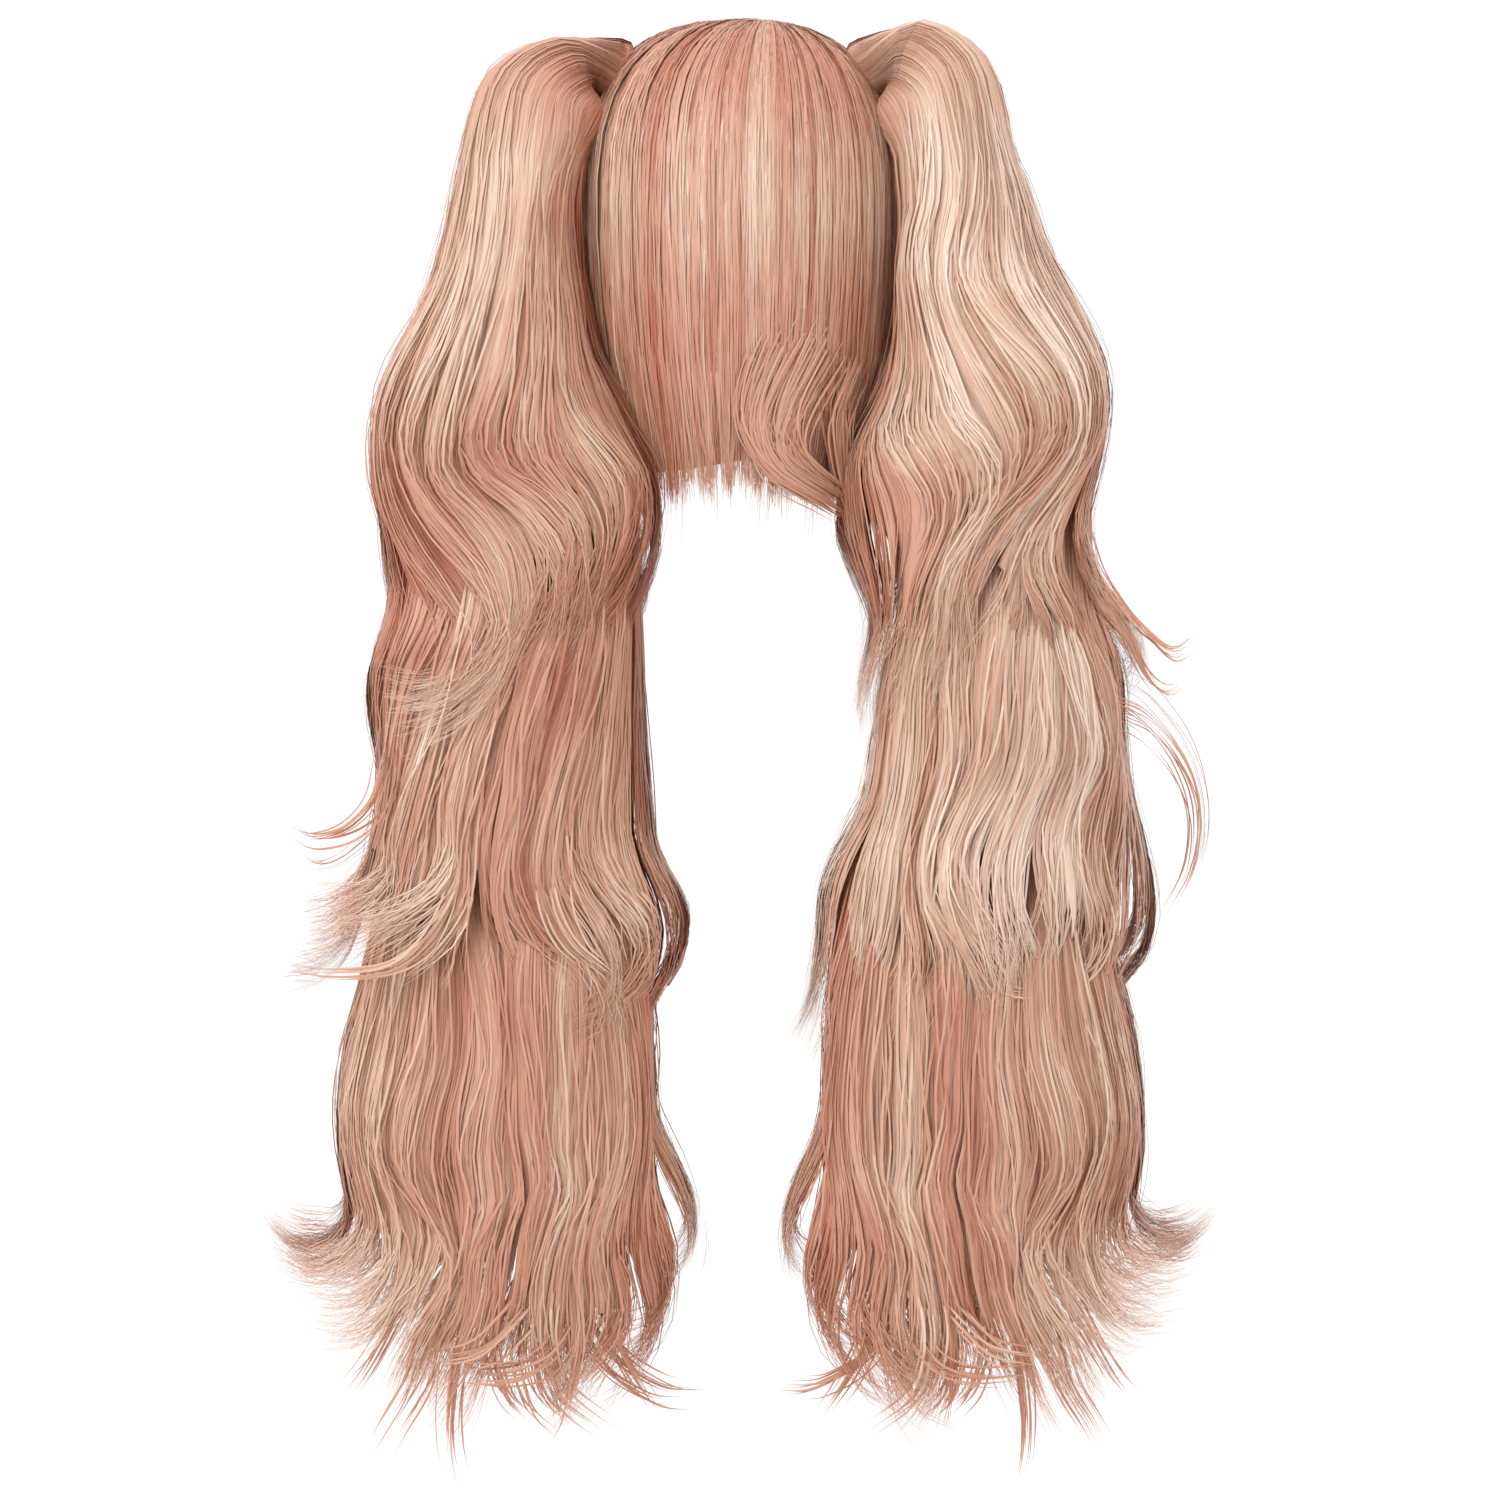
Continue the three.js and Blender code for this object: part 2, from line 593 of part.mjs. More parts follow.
function tieGeometry(cord) {
  return new THREE.TorusGeometry(TIE_RADIUS, cord, 6, 14);
}

function placeTie(mesh, side) {
  const { seat, axis } = tieSeat(side);
  mesh.position.copy(seat).addScaledVector(axis, TIE_CORD + GAP);
  mesh.quaternion.setFromUnitVectors(new THREE.Vector3(0, 0, 1), axis);
}

// The outermost surface alone, so that no hollow is left closed in between the locks.
function outerBody(solid) {
  const shells = solid.decompose();
  return shells.reduce((best, shell) => (shell.volume() > best.volume() ? shell : best));
}

// The core and every lock joined into one body, cut back from the head's hair and from the tie.
function tailGeometry(tail, room) {
  let body = toSolid(coreGeometry(tail));
  for (const lock of tail.locks) body = body.add(toSolid(lockGeometry(tail, lock)));
  body = outerBody(body).simplify(FINEST);
  const ring = new THREE.Mesh(tieGeometry(TIE_CORD + GAP));
  placeTie(ring, tail.side);
  ring.updateMatrix();
  body = body.subtract(room).subtract(toSolid(ring.geometry.applyMatrix4(ring.matrix)));
  return toGeometry(outerBody(body));
}

// The wig, each piece a mesh of its own.
const hairMaterial = new THREE.MeshStandardMaterial({ color: 0xd2a08a, roughness: 0.45, metalness: 0 });
const crownMaterial = new THREE.MeshStandardMaterial({ color: 0xc48f79, roughness: 0.45, metalness: 0 });
const capMaterial = new THREE.MeshStandardMaterial({ color: 0xb98a78, roughness: 0.9, metalness: 0 });
const tieMaterial = new THREE.MeshStandardMaterial({ color: 0x8a5a4a, roughness: 0.8, metalness: 0 });

function piece(name, geometry, material) {
  const mesh = new THREE.Mesh(geometry, material);
  mesh.name = name;
  return mesh;
}

const wig = new THREE.Group();
wig.add(piece("wig_cap", capGeometry, capMaterial));
wig.add(piece("crown_hair", crownGeometry, crownMaterial));
const fringe = piece("fringe", fringeGeometry, crownMaterial);
fringe.position.y = GAP; // clear of the crown hair on both sides of it
wig.add(fringe);

const room = headRoom();
for (const [word, tail] of [["left", LEFT_TAIL], ["right", RIGHT_TAIL]]) {
  const tie = piece(`hair_tie_${word}`, tieGeometry(TIE_CORD), tieMaterial);
  placeTie(tie, tail.side);
  wig.add(tie);
  wig.add(piece(`ponytail_${word}`, tailGeometry(tail, room), hairMaterial));
}

export default wig;
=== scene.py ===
"""A long wavy wig with two high ponytails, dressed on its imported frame.

Metres. The wearer faces +Y, up is +Z, and the camera looks at the back of the wig along +Y.
The hair is made as ribbons of fibre, each as broad as a few dozen real fibres that cling together.
"""

import math

import bpy
import numpy as np
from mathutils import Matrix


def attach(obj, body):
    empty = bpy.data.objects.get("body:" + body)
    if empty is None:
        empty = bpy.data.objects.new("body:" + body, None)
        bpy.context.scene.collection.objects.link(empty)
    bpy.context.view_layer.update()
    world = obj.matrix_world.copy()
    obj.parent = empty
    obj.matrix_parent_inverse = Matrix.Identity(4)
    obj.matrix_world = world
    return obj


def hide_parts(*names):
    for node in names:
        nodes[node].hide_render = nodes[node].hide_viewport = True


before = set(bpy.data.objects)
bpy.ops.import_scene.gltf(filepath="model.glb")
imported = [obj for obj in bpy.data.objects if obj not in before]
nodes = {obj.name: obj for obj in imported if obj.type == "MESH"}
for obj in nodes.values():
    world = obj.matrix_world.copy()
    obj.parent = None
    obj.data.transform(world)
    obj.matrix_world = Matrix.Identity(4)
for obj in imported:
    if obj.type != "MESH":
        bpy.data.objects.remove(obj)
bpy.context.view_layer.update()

# Camera and light. The wig is seen level from behind, with a long lens from nearly three metres.
# A broad soft lamp stands above and to the left of the camera, and the room around is white.
CAMERA_PLACE = (0.0055, -2.86, -0.392)
SENSOR = 36.0
FRAME_WIDTH = 0.825  # what the picture takes in across the wig
WIG_DEPTH = -0.06  # the plane where that width is taken
KEY_PLACE = (-1.1, -2.3, 1.7)
KEY_TARGET = (0, 0, -0.3)
KEY_POWER = 40.0
KEY_SIZE = 1.4
ROOM_BRIGHTNESS = 1.05

camera_data = bpy.data.cameras.new("camera")
camera_data.sensor_width = SENSOR
camera_data.lens = SENSOR * (WIG_DEPTH - CAMERA_PLACE[1]) / FRAME_WIDTH
camera = bpy.data.objects.new("camera", camera_data)
camera.location = CAMERA_PLACE
camera.rotation_euler = (math.radians(90), 0, 0)
bpy.context.scene.collection.objects.link(camera)
bpy.context.scene.camera = camera
bpy.context.scene.view_settings.view_transform = "Standard"

key_data = bpy.data.lights.new("key_lamp", "AREA")
key_data.energy = KEY_POWER
key_data.size = KEY_SIZE
key = bpy.data.objects.new("key_lamp", key_data)
key.location = KEY_PLACE
aim = np.array(KEY_TARGET) - np.array(KEY_PLACE)
key.rotation_euler = (math.acos(-aim[2] / np.linalg.norm(aim)), 0, math.atan2(-aim[0], aim[1]))
bpy.context.scene.collection.objects.link(key)

room = bpy.data.worlds.new("white_room")
room.use_nodes = True
room.node_tree.nodes["Background"].inputs["Color"].default_value = (1, 1, 1, 1)
room.node_tree.nodes["Background"].inputs["Strength"].default_value = ROOM_BRIGHTNESS
bpy.context.scene.world = room

# Floor. A plain pale round sheet well below the wig, made of rings of faces round a small hole.
# It is there for the picture alone, and isn't part of the wig.
FLOOR_HEIGHT = -1.05
FLOOR_RADIUS = 1.5
FLOOR_RINGS = (1.0, 0.5, 0.02)  # shares of the radius
FLOOR_CORNERS = 96


def join_mesh(name, points, faces, uvs=None, tones=None):
    """A piece from arrays of points and of faces with four corners. Each point may have a place
    in the streaks of the fibre, and a tone."""
    mesh = bpy.data.meshes.new(name)
    mesh.vertices.add(len(points))
    mesh.vertices.foreach_set("co", np.ascontiguousarray(points, np.float32).ravel())
    mesh.loops.add(faces.size)
    mesh.loops.foreach_set("vertex_index", np.ascontiguousarray(faces, np.int32).ravel())
    mesh.polygons.add(len(faces))
    mesh.polygons.foreach_set("loop_start", np.arange(0, faces.size, faces.shape[1], dtype=np.int32))
    mesh.polygons.foreach_set("use_smooth", np.ones(len(faces), bool))
    if uvs is not None:
        layer = mesh.uv_layers.new(name="fibre")
        layer.data.foreach_set("uv", np.ascontiguousarray(uvs[faces.ravel()], np.float32).ravel())
    if tones is not None:
        layer = mesh.attributes.new("tone", "FLOAT", "POINT")
        layer.data.foreach_set("value", np.ascontiguousarray(tones, np.float32))
    mesh.update(calc_edges=True)
    piece = bpy.data.objects.new(name, mesh)
    bpy.context.scene.collection.objects.link(piece)
    return piece


turn = np.linspace(0, 2 * math.pi, FLOOR_CORNERS + 1)[:-1]
rim = np.stack([np.cos(turn), np.sin(turn), 0 * turn], 1) * FLOOR_RADIUS
rings = [rim * share + [0, 0, FLOOR_HEIGHT] for share in FLOOR_RINGS]
corner = np.arange(FLOOR_CORNERS)
after = (corner + 1) % FLOOR_CORNERS
faces = []
for outer in range(0, (len(FLOOR_RINGS) - 1) * FLOOR_CORNERS, FLOOR_CORNERS):
    inner = outer + FLOOR_CORNERS
    faces.append(np.stack([outer + corner, outer + after, inner + after, inner + corner], 1))
floor = join_mesh("floor", np.concatenate(rings), np.concatenate(faces))
floor_paint = bpy.data.materials.new("floor_paint")
floor_paint.use_nodes = True
shader = floor_paint.node_tree.nodes["Principled BSDF"]
shader.inputs["Base Color"].default_value = (0.9, 0.89, 0.88, 1)
shader.inputs["Roughness"].default_value = 0.9
floor.data.materials.append(floor_paint)

# Fibre colour. The hair is synthetic, a blend of fibres from deep rose over peach to pale blond.
# The node group turns a lock's tone, which also carries painted shade and painted highlights, into that
# blend and streaks it along the fibres, and the short and the long hair each have their own strength of
# streaks.
FIBRES = [(0.0, (148, 76, 55)), (0.3, (182, 112, 85)), (0.6, (205, 156, 131)), (1.0, (231, 209, 191))]
STREAK_STRETCH = (4.0, 1.3, 1.0)  # noise for each step across a fibre and along it
FIBRE_ROUGHNESS = 0.45
FIBRE_RELIEF = 0.0006


def add_node(tree, kind, place, **values):
    """A node at a place in a material's tree, with its settings and the values of its sockets."""
    node = tree.nodes.new(kind)
    node.location = place
    for name, value in values.items():
        if hasattr(node, name):
            setattr(node, name, value)
        else:
            node.inputs[name].default_value = value
    return node


def srgb(red, green, blue):
    """A colour as a screen shows it, 0 to 255, in the light values that materials use."""
    shares = [value / 255 for value in (red, green, blue)]
    return tuple(s / 12.92 if s < 0.04045 else ((s + 0.055) / 1.055) ** 2.4 for s in shares) + (1,)


fibre_group = bpy.data.node_groups.new("fibre_blend", "ShaderNodeTree")
sockets = fibre_group.interface
sockets.new_socket("Streaks", in_out="INPUT", socket_type="NodeSocketFloat")
sockets.new_socket("Color", in_out="OUTPUT", socket_type="NodeSocketColor")
sockets.new_socket("Height", in_out="OUTPUT", socket_type="NodeSocketFloat")
given = add_node(fibre_group, "NodeGroupInput", (-900, 0))
result = add_node(fibre_group, "NodeGroupOutput", (500, 0))
tone = add_node(fibre_group, "ShaderNodeAttribute", (-900, 250), attribute_name="tone")
place = add_node(fibre_group, "ShaderNodeUVMap", (-1100, -200), uv_map="fibre")
stretch = add_node(fibre_group, "ShaderNodeMapping", (-900, -250), Scale=STREAK_STRETCH)
streak = add_node(fibre_group, "ShaderNodeTexNoise", (-700, -250), Scale=1.0, Detail=3.0, Roughness=0.65)
centred = add_node(fibre_group, "ShaderNodeMath", (-500, -250), operation="SUBTRACT")
centred.inputs[1].default_value = 0.5
strength = add_node(fibre_group, "ShaderNodeMath", (-300, -150), operation="MULTIPLY")
summed = add_node(fibre_group, "ShaderNodeMath", (-100, 50), operation="ADD", use_clamp=True)
blend = add_node(fibre_group, "ShaderNodeValToRGB", (100, 100))
for position, _ in FIBRES[1:-1]:
    blend.color_ramp.elements.new(position)
for element, (position, colour) in zip(blend.color_ramp.elements, FIBRES):
    element.position = position
    element.color = srgb(*colour)
join = fibre_group.links.new
join(place.outputs["UV"], stretch.inputs["Vector"])
join(stretch.outputs["Vector"], streak.inputs["Vector"])
join(streak.outputs["Fac"], centred.inputs[0])
join(centred.outputs[0], strength.inputs[0])
join(given.outputs["Streaks"], strength.inputs[1])
join(tone.outputs["Fac"], summed.inputs[0])
join(strength.outputs[0], summed.inputs[1])
join(summed.outputs[0], blend.inputs["Fac"])
join(blend.outputs["Color"], result.inputs["Color"])
join(streak.outputs["Fac"], result.inputs["Height"])


def fibre_material(name, streaks):
    """Satin synthetic hair, coloured by the blend, with a slight relief along its streaks."""
    material = bpy.data.materials.new(name)
    material.use_nodes = True
    tree = material.node_tree
    shader = tree.nodes["Principled BSDF"]
    shader.inputs["Roughness"].default_value = FIBRE_ROUGHNESS
    shader.inputs["Specular IOR Level"].default_value = 0.5
    blend = add_node(tree, "ShaderNodeGroup", (-400, 0))
    blend.node_tree = fibre_group
    blend.inputs["Streaks"].default_value = streaks
    bump = add_node(tree, "ShaderNodeBump", (-200, -200), Strength=0.22, Distance=FIBRE_RELIEF)
    tree.links.new(blend.outputs["Color"], shader.inputs["Base Color"])
    tree.links.new(blend.outputs["Height"], bump.inputs["Height"])
    tree.links.new(bump.outputs["Normal"], shader.inputs["Normal"])
    return material


# Short hair. It is synthetic fibre, sewn to the cap in rows and combed straight down from the
# crown. It is cut to ragged points at the nape, and to a fringe in front. A plain thick layer
# lies below the loose fibres and fills in between them.
MM = 0.001
HEAD_HALF_WIDTH = 77 * MM
HEAD_BACK = 97 * MM
HEAD_FRONT = 95 * MM
HEAD_RISE = 100 * MM
CROWN_ROUNDNESS = 2.7
CAP_WALL = 2 * MM
GAP = 0.4 * MM
HAIR_THICKNESS = 12 * MM
HAIR_INSIDE = CAP_WALL + GAP
HAIR_OUTSIDE = HAIR_INSIDE + HAIR_THICKNESS
NAPE_LENGTH = 246 * MM
FACE_LENGTH = 222 * MM
FRINGE_LENGTH = 104 * MM
HEM_THICKNESS = 4.5 * MM
SHELL_HEM = 12 * MM  # how far the thick layer stops short of the fibres' ends
SIDE_DROP = 12 * MM  # how much longer the hair is cut at the sides
FRINGE_HALF_SPAN = math.radians(45)
CROWN_FIBRES = 4900
CROWN_CLUMPS = 170
FRINGE_FIBRES = 1500
FRINGE_CLUMPS = 60
SHORT_WIDTHS = (0.6, 1.5)  # of a ribbon of fibre, in millimetres
SHORT_STEPS = 16  # points down each ribbon
SHELL_ROWS = 26  # points down the thick layer
CLUMP_SHADE = 0.085  # how much clumps and single fibres differ in tone
FIBRE_SHADE = 0.055
RIBBON_TAPER = 0.25  # the share of a ribbon over which it narrows to its tip
STREAKS_ACROSS = 300  # places in the streaks for each metre across a ribbon and along it
STREAKS_ALONG = 10
DRIFT_WAVES = 2.2
# Columns: side, back, front. Shares of the head's half width, back and front below its widest.
NECKLINE = np.array([
    [1.0, 1.0, 1.0],
    [0.98, 0.97, 0.99],
    [0.93, 0.91, 0.97],
    [0.86, 0.84, 0.94],
    [0.8, 0.79, 0.9],
])
WHORL = (0.17, -0.2)  # where the hair parts on the crown, shares of its half width and depth
rng = np.random.default_rng(7)


def smooth(t):
    """0 to 1 with a soft start and a soft end."""
    t = np.clip(t, 0, 1)
    return t * t * (3 - 2 * t)


def mix(a, b, t):
    """From a, where t is 0, to b, where it is 1."""
    return a + (b - a) * t


def along(rows, column, place):
    """The value of a table's column at a place, 0 to 1, along its evenly spaced rows."""
    at = np.clip(place, 0, 1) * (len(rows) - 1)
    row = np.minimum(at.astype(int), len(rows) - 2)
    return mix(rows[row, column], rows[row + 1, column], smooth(at - row))


def way_to(down):
    """The way along the head, 1 at its widest level, that reaches a depth below the crown."""
    high = np.arccos(np.clip(1 - down / HEAD_RISE, 0, 1) ** (CROWN_ROUNDNESS / 2)) * 2 / math.pi
    return np.where(down < HEAD_RISE, high, 1 + (down - HEAD_RISE) / (NAPE_LENGTH - HEAD_RISE))


def dome_spread(way):
    """How far out the head's dome reaches at a way along it, as a share of its widest."""
    return np.sin(np.minimum(way, 1) * math.pi / 2) ** (2 / CROWN_ROUNDNESS)


def head_point(angle, way, grow):
    """A point on the head's form grown by a thickness, at an angle from the front towards +X."""
    quarter = np.minimum(way, 1) * math.pi / 2
    below = np.maximum(way - 1, 0)
    spread = dome_spread(way)
    dome = grow - (HEAD_RISE + grow) * (1 - np.cos(quarter) ** (2 / CROWN_ROUNDNESS))
    height = np.where(way < 1, dome, -HEAD_RISE - below * (NAPE_LENGTH - HEAD_RISE))
    side = HEAD_HALF_WIDTH * along(NECKLINE, 0, below) + grow
    back = HEAD_BACK * along(NECKLINE, 1, below) + grow
    front = HEAD_FRONT * along(NECKLINE, 2, below) + grow
    depth = np.where(np.cos(angle) > 0, front, back)
    return np.stack([spread * side * np.sin(angle), spread * depth * np.cos(angle), height], -1)


def combed(angle, way, grow):
    """The same, with the crown's middle drawn over to the whorl."""
    spread = dome_spread(way)
    across = spread * np.sin(angle) + WHORL[0] * (1 - spread)
    forward = spread * np.cos(angle) + WHORL[1] * (1 - spread)
    moved = np.minimum(np.hypot(across, forward), 1)
    turned = np.arctan2(across, forward)
    high = np.arcsin(moved ** (CROWN_ROUNDNESS / 2)) * 2 / math.pi
    return head_point(np.where(way < 1, turned, angle), np.where(way < 1, high, way), grow)


def ribbons(name, lines, outward, width, tone, lay):
    """Fibre ribbons: a line of points for each, with the way out of the hair, widths and tones.
    Each is turned about its line by a random share of lay, so that they catch the light in turn."""
    taper = RIBBON_TAPER
    number, steps, _ = lines.shape
    ahead = np.gradient(lines, axis=1)
    ahead /= np.linalg.norm(ahead, axis=2, keepdims=True) + 1e-9
    side = np.cross(ahead, outward)
    side /= np.linalg.norm(side, axis=2, keepdims=True) + 1e-9
    up = np.cross(side, ahead)
    roll = rng.normal(0, lay, (number, 1, 1))
    broad = side * np.cos(roll) + up * np.sin(roll)
    share = np.linspace(0, 1, steps)
    full = mix(0.5, 1, smooth(share / 0.12)) * mix(1, 0.12, smooth((share - 1 + taper) / taper))
    half = broad * (width[:, None] * full[None, :] / 2)[:, :, None]
    points = np.stack([lines - half, lines + half], 2).reshape(-1, 3)
    start = (np.arange(number)[:, None] * steps + np.arange(steps - 1)[None, :]).ravel() * 2
    faces = np.stack([start, start + 1, start + 3, start + 2], 1)
    long = np.linalg.norm(np.diff(lines, axis=1), axis=2).sum(1)
    edges = np.array([0, 1])[None, None, :] * width[:, None, None] * STREAKS_ACROSS
    across = rng.uniform(0, 900, number)[:, None, None] + edges
    down = (share[None, :] * long[:, None] * STREAKS_ALONG)[:, :, None]
    uvs = np.stack(np.broadcast_arrays(across, down), -1).reshape(-1, 2)
    tones = np.repeat(np.broadcast_to(tone, (number, steps)).reshape(-1), 2)
    return join_mesh(name, points, faces, uvs, tones)


def drift(number, steps, size):
    """A slow random wander in three directions that grows along each line."""
    share = np.linspace(0, 1, steps)[None, :, None]
    phase = rng.uniform(0, 2 * math.pi, (number, 1, 3))
    pace = rng.uniform(0.6, 1.4, (number, 1, 3)) * DRIFT_WAVES
    return size * np.sin(2 * math.pi * pace * share + phase) * smooth(share * 2)


short_fibre = fibre_material("short_fibre", streaks=0.4)


def short_hair(name, number, lowest, highest, hem, clumps, length_spread, tone_at):
    """Straight fibres from the crown down to a hem, gathered in small clumps at their ends."""
    clump_angle = np.sort(rng.uniform(lowest, highest, clumps))
    angle = rng.uniform(lowest, highest, number)
    nearest = np.abs(angle[:, None] - clump_angle[None, :]).argmin(1)
    share = np.linspace(0, 1, SHORT_STEPS)[None, :]
    end = hem(angle) + rng.normal(0, length_spread, number) + rng.normal(0, 3.5 * MM, clumps)[nearest]
    end += np.where(rng.uniform(0, 1, number) < 0.03, rng.uniform(5, 22, number), 0) * MM
    gather = 0.6 * smooth((share - 0.75) / 0.25)
    pulled = mix(angle[:, None], clump_angle[nearest][:, None], gather)
    pace = rng.uniform(2, 6, number)[:, None]
    phase = rng.uniform(0, 6, number)[:, None]
    wander = np.radians(1.2) * np.sin(share * pace + phase)
    aside = rng.normal(0, 1.6, clumps)[nearest] + rng.normal(0, 1.1, number)
    wander = wander + np.radians(aside)[:, None] * smooth((share - 0.84) / 0.16)
    start = mix(0.002, 0.16, rng.uniform(0, 1, number) ** 2)[:, None]
    way = mix(start, way_to(end)[:, None], share)
    level = rng.uniform(0.84, 1.06, number)[:, None]
    lift = rng.normal(0, 0.06, clumps)[nearest][:, None]
    thick = mix(HAIR_THICKNESS, HEM_THICKNESS, smooth((share - 0.72) / 0.28))
    grow = HAIR_INSIDE + thick * (level + lift)
    lines = combed(pulled + wander, way, grow) + drift(number, SHORT_STEPS, 0.6 * MM)
    outward = combed(pulled + wander, way, grow + 5 * MM) - combed(pulled + wander, way, grow)
    shade = rng.normal(0, CLUMP_SHADE, clumps)[nearest] + rng.normal(0, FIBRE_SHADE, number)
    tone = shade[:, None] + tone_at(share)
    width = rng.uniform(*SHORT_WIDTHS, number) * MM
    piece = ribbons(name, lines, outward, width, tone, lay=0.15)
    piece.data.materials.append(short_fibre)
    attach(piece, "root")


def shell(name, lowest, highest, columns, hem):
    """A smooth wall of hair round the head, closed on all its sides."""
    rows = SHELL_ROWS
    angle = np.linspace(lowest, highest, columns)[:, None]
    share = np.linspace(0, 1, rows)[None, :]
    way = mix(0.03, way_to(hem(angle) - SHELL_HEM), share)
    thick = mix(HAIR_THICKNESS * 0.82, HEM_THICKNESS * 0.5, smooth((share - 0.72) / 0.28))
    outer = head_point(angle, way, HAIR_INSIDE + thick)
    inner = head_point(angle, way, HAIR_INSIDE)
    points = np.concatenate([outer.reshape(-1, 3), inner.reshape(-1, 3)])
    c, r = np.meshgrid(np.arange(columns - 1), np.arange(rows - 1), indexing="ij")
    at = (c * rows + r).ravel()
    sheet = np.stack([at, at + 1, at + rows + 1, at + rows], 1)
    whole = columns * rows
    low = np.arange(columns - 1) * rows + rows - 1
    top = np.arange(columns - 1) * rows
    left = np.arange(rows - 1)
    right = (columns - 1) * rows + left
    faces = np.concatenate([
        sheet,
        sheet[:, ::-1] + whole,
        np.stack([low, low + whole, low + rows + whole, low + rows], 1),
        np.stack([top, top + rows, top + rows + whole, top + whole], 1),
        np.stack([left, left + whole, left + 1 + whole, left + 1], 1),
        np.stack([right, right + 1, right + 1 + whole, right + whole], 1),
    ])
    uvs = np.stack(np.broadcast_arrays(angle * 60, share * 3), -1)
    uvs = np.tile(uvs.reshape(-1, 2), (2, 1))
    # The thick layer is darker than the fibres over it, as painted shade in the depth of the hair.
    piece = join_mesh(name, points, faces, uvs, np.full(len(points), 0.36))
    piece.data.materials.append(short_fibre)
    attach(piece, "root")
    return piece


def nape_hem(angle):
    """How far down the hair reaches at the sides and the back. It is shortest beside the face."""
    towards_back = np.sin((angle - FRINGE_HALF_SPAN) / (2 * math.pi - 2 * FRINGE_HALF_SPAN) * math.pi)
    level = mix(FACE_LENGTH, NAPE_LENGTH, np.clip(towards_back, 0, 1))
    return level + SIDE_DROP * np.abs(np.sin(angle))


def forehead_hem(angle):
    """How far down the fringe reaches, the same all along."""
    return np.full_like(angle, FRINGE_LENGTH)


def crown_tone_and_highlight(share):
    """The tone down the short hair, with a painted highlight: it is paler in a band about half way down,
    where the hair curves towards the light.
    """
    return 0.46 + 0.2 * np.exp(-((share - 0.47) / 0.13) ** 2) + 0.05 * share


def fringe_tone(share):
    """The tone down the fringe, a little darker towards its ends."""
    return 0.52 - 0.06 * share


round_back = (FRINGE_HALF_SPAN, 2 * math.pi - FRINGE_HALF_SPAN)
crown_base = shell("crown_hair", *round_back, 110, nape_hem)
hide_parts("crown_hair")
short_hair("crown_hair_strands", CROWN_FIBRES, *round_back, nape_hem, CROWN_CLUMPS, 4 * MM, crown_tone_and_highlight)
in_front = (-FRINGE_HALF_SPAN, FRINGE_HALF_SPAN)
fringe_base = shell("fringe", *in_front, 40, forehead_hem)
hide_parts("fringe")
short_hair("fringe_strands", FRINGE_FIBRES, *in_front, forehead_hem, FRINGE_CLUMPS, 6 * MM, fringe_tone)

# Nape curls. These are wisps of the short hair that part from it and curl away to the right. Each
# point is the degrees round from the middle of the back, and the millimetres down from the crown.
NAPE_CURLS = [
    [(27, 145), (14.5, 172), (6.5, 200), (6, 222), (15, 241), (33, 255), (46, 263)],
    [(37.5, 150), (26, 172), (17, 200), (14, 222), (22, 238), (35, 249), (45, 257)],
    [(43, 161), (30.5, 183), (21.5, 208), (20.5, 224), (27, 237), (43, 249), (52, 254)],
    [(54, 161), (47.5, 188), (41, 210), (45, 238), (52, 265), (57, 282), (58, 292)],
]
NAPE_FIBRES = 80  # in each
CURL_START = np.array([4.5, 7])  # how far its fibres spread where a curl starts and at its tip
CURL_TIP = np.array([1.2, 2])


def spline(points, at):
    """A smooth curve through each row of points, at places counted in points."""
    before = 2 * points[:, :1] - points[:, 1:2]
    beyond = 2 * points[:, -1:] - points[:, -2:-1]
    padded = np.concatenate([before, points, beyond], 1)
    k = np.clip(np.floor(at).astype(int), 0, points.shape[1] - 2)
    t = (at - k)[..., None]
    own = np.arange(len(points))[:, None]
    p0, p1, p2, p3 = (padded[own, k + i] for i in range(4))
    a = -0.5 * p0 + 1.5 * p1 - 1.5 * p2 + 0.5 * p3
    b = p0 - 2.5 * p1 + 2 * p2 - 0.5 * p3
    return ((a * t + b) * t + 0.5 * (p2 - p0)) * t + p1


own = np.repeat(np.arange(len(NAPE_CURLS)), NAPE_FIBRES)
share = np.linspace(0, 1, 20)[None, :, None]
ends = 1 - 0.3 * rng.uniform(0, 1, len(own)) ** 2
at = share[:, :, 0] * ends[:, None] * (len(NAPE_CURLS[0]) - 1)
curls = spline(np.array(NAPE_CURLS, float)[own], at)
curls = curls + rng.normal(0, 1, (len(own), 1, 2)) * mix(CURL_START, CURL_TIP, smooth(share))
angle = math.pi - np.radians(curls[..., 0])
way = way_to(curls[..., 1] * MM)
lift = HAIR_OUTSIDE + mix(-2, rng.uniform(0, 4, (len(own), 1)), smooth(share[:, :, 0] * 3)) * MM
lines = head_point(angle, way, lift)
outward = head_point(angle, way, lift + 5 * MM) - lines
tone = rng.normal(0.52, 0.07, (len(own), 1))
width = rng.uniform(0.6, 1.4, len(own)) * MM
nape_curls = ribbons("nape_curls", lines, outward, width, tone, lay=0.3)
nape_curls.data.materials.append(short_fibre)
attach(nape_curls, "root")

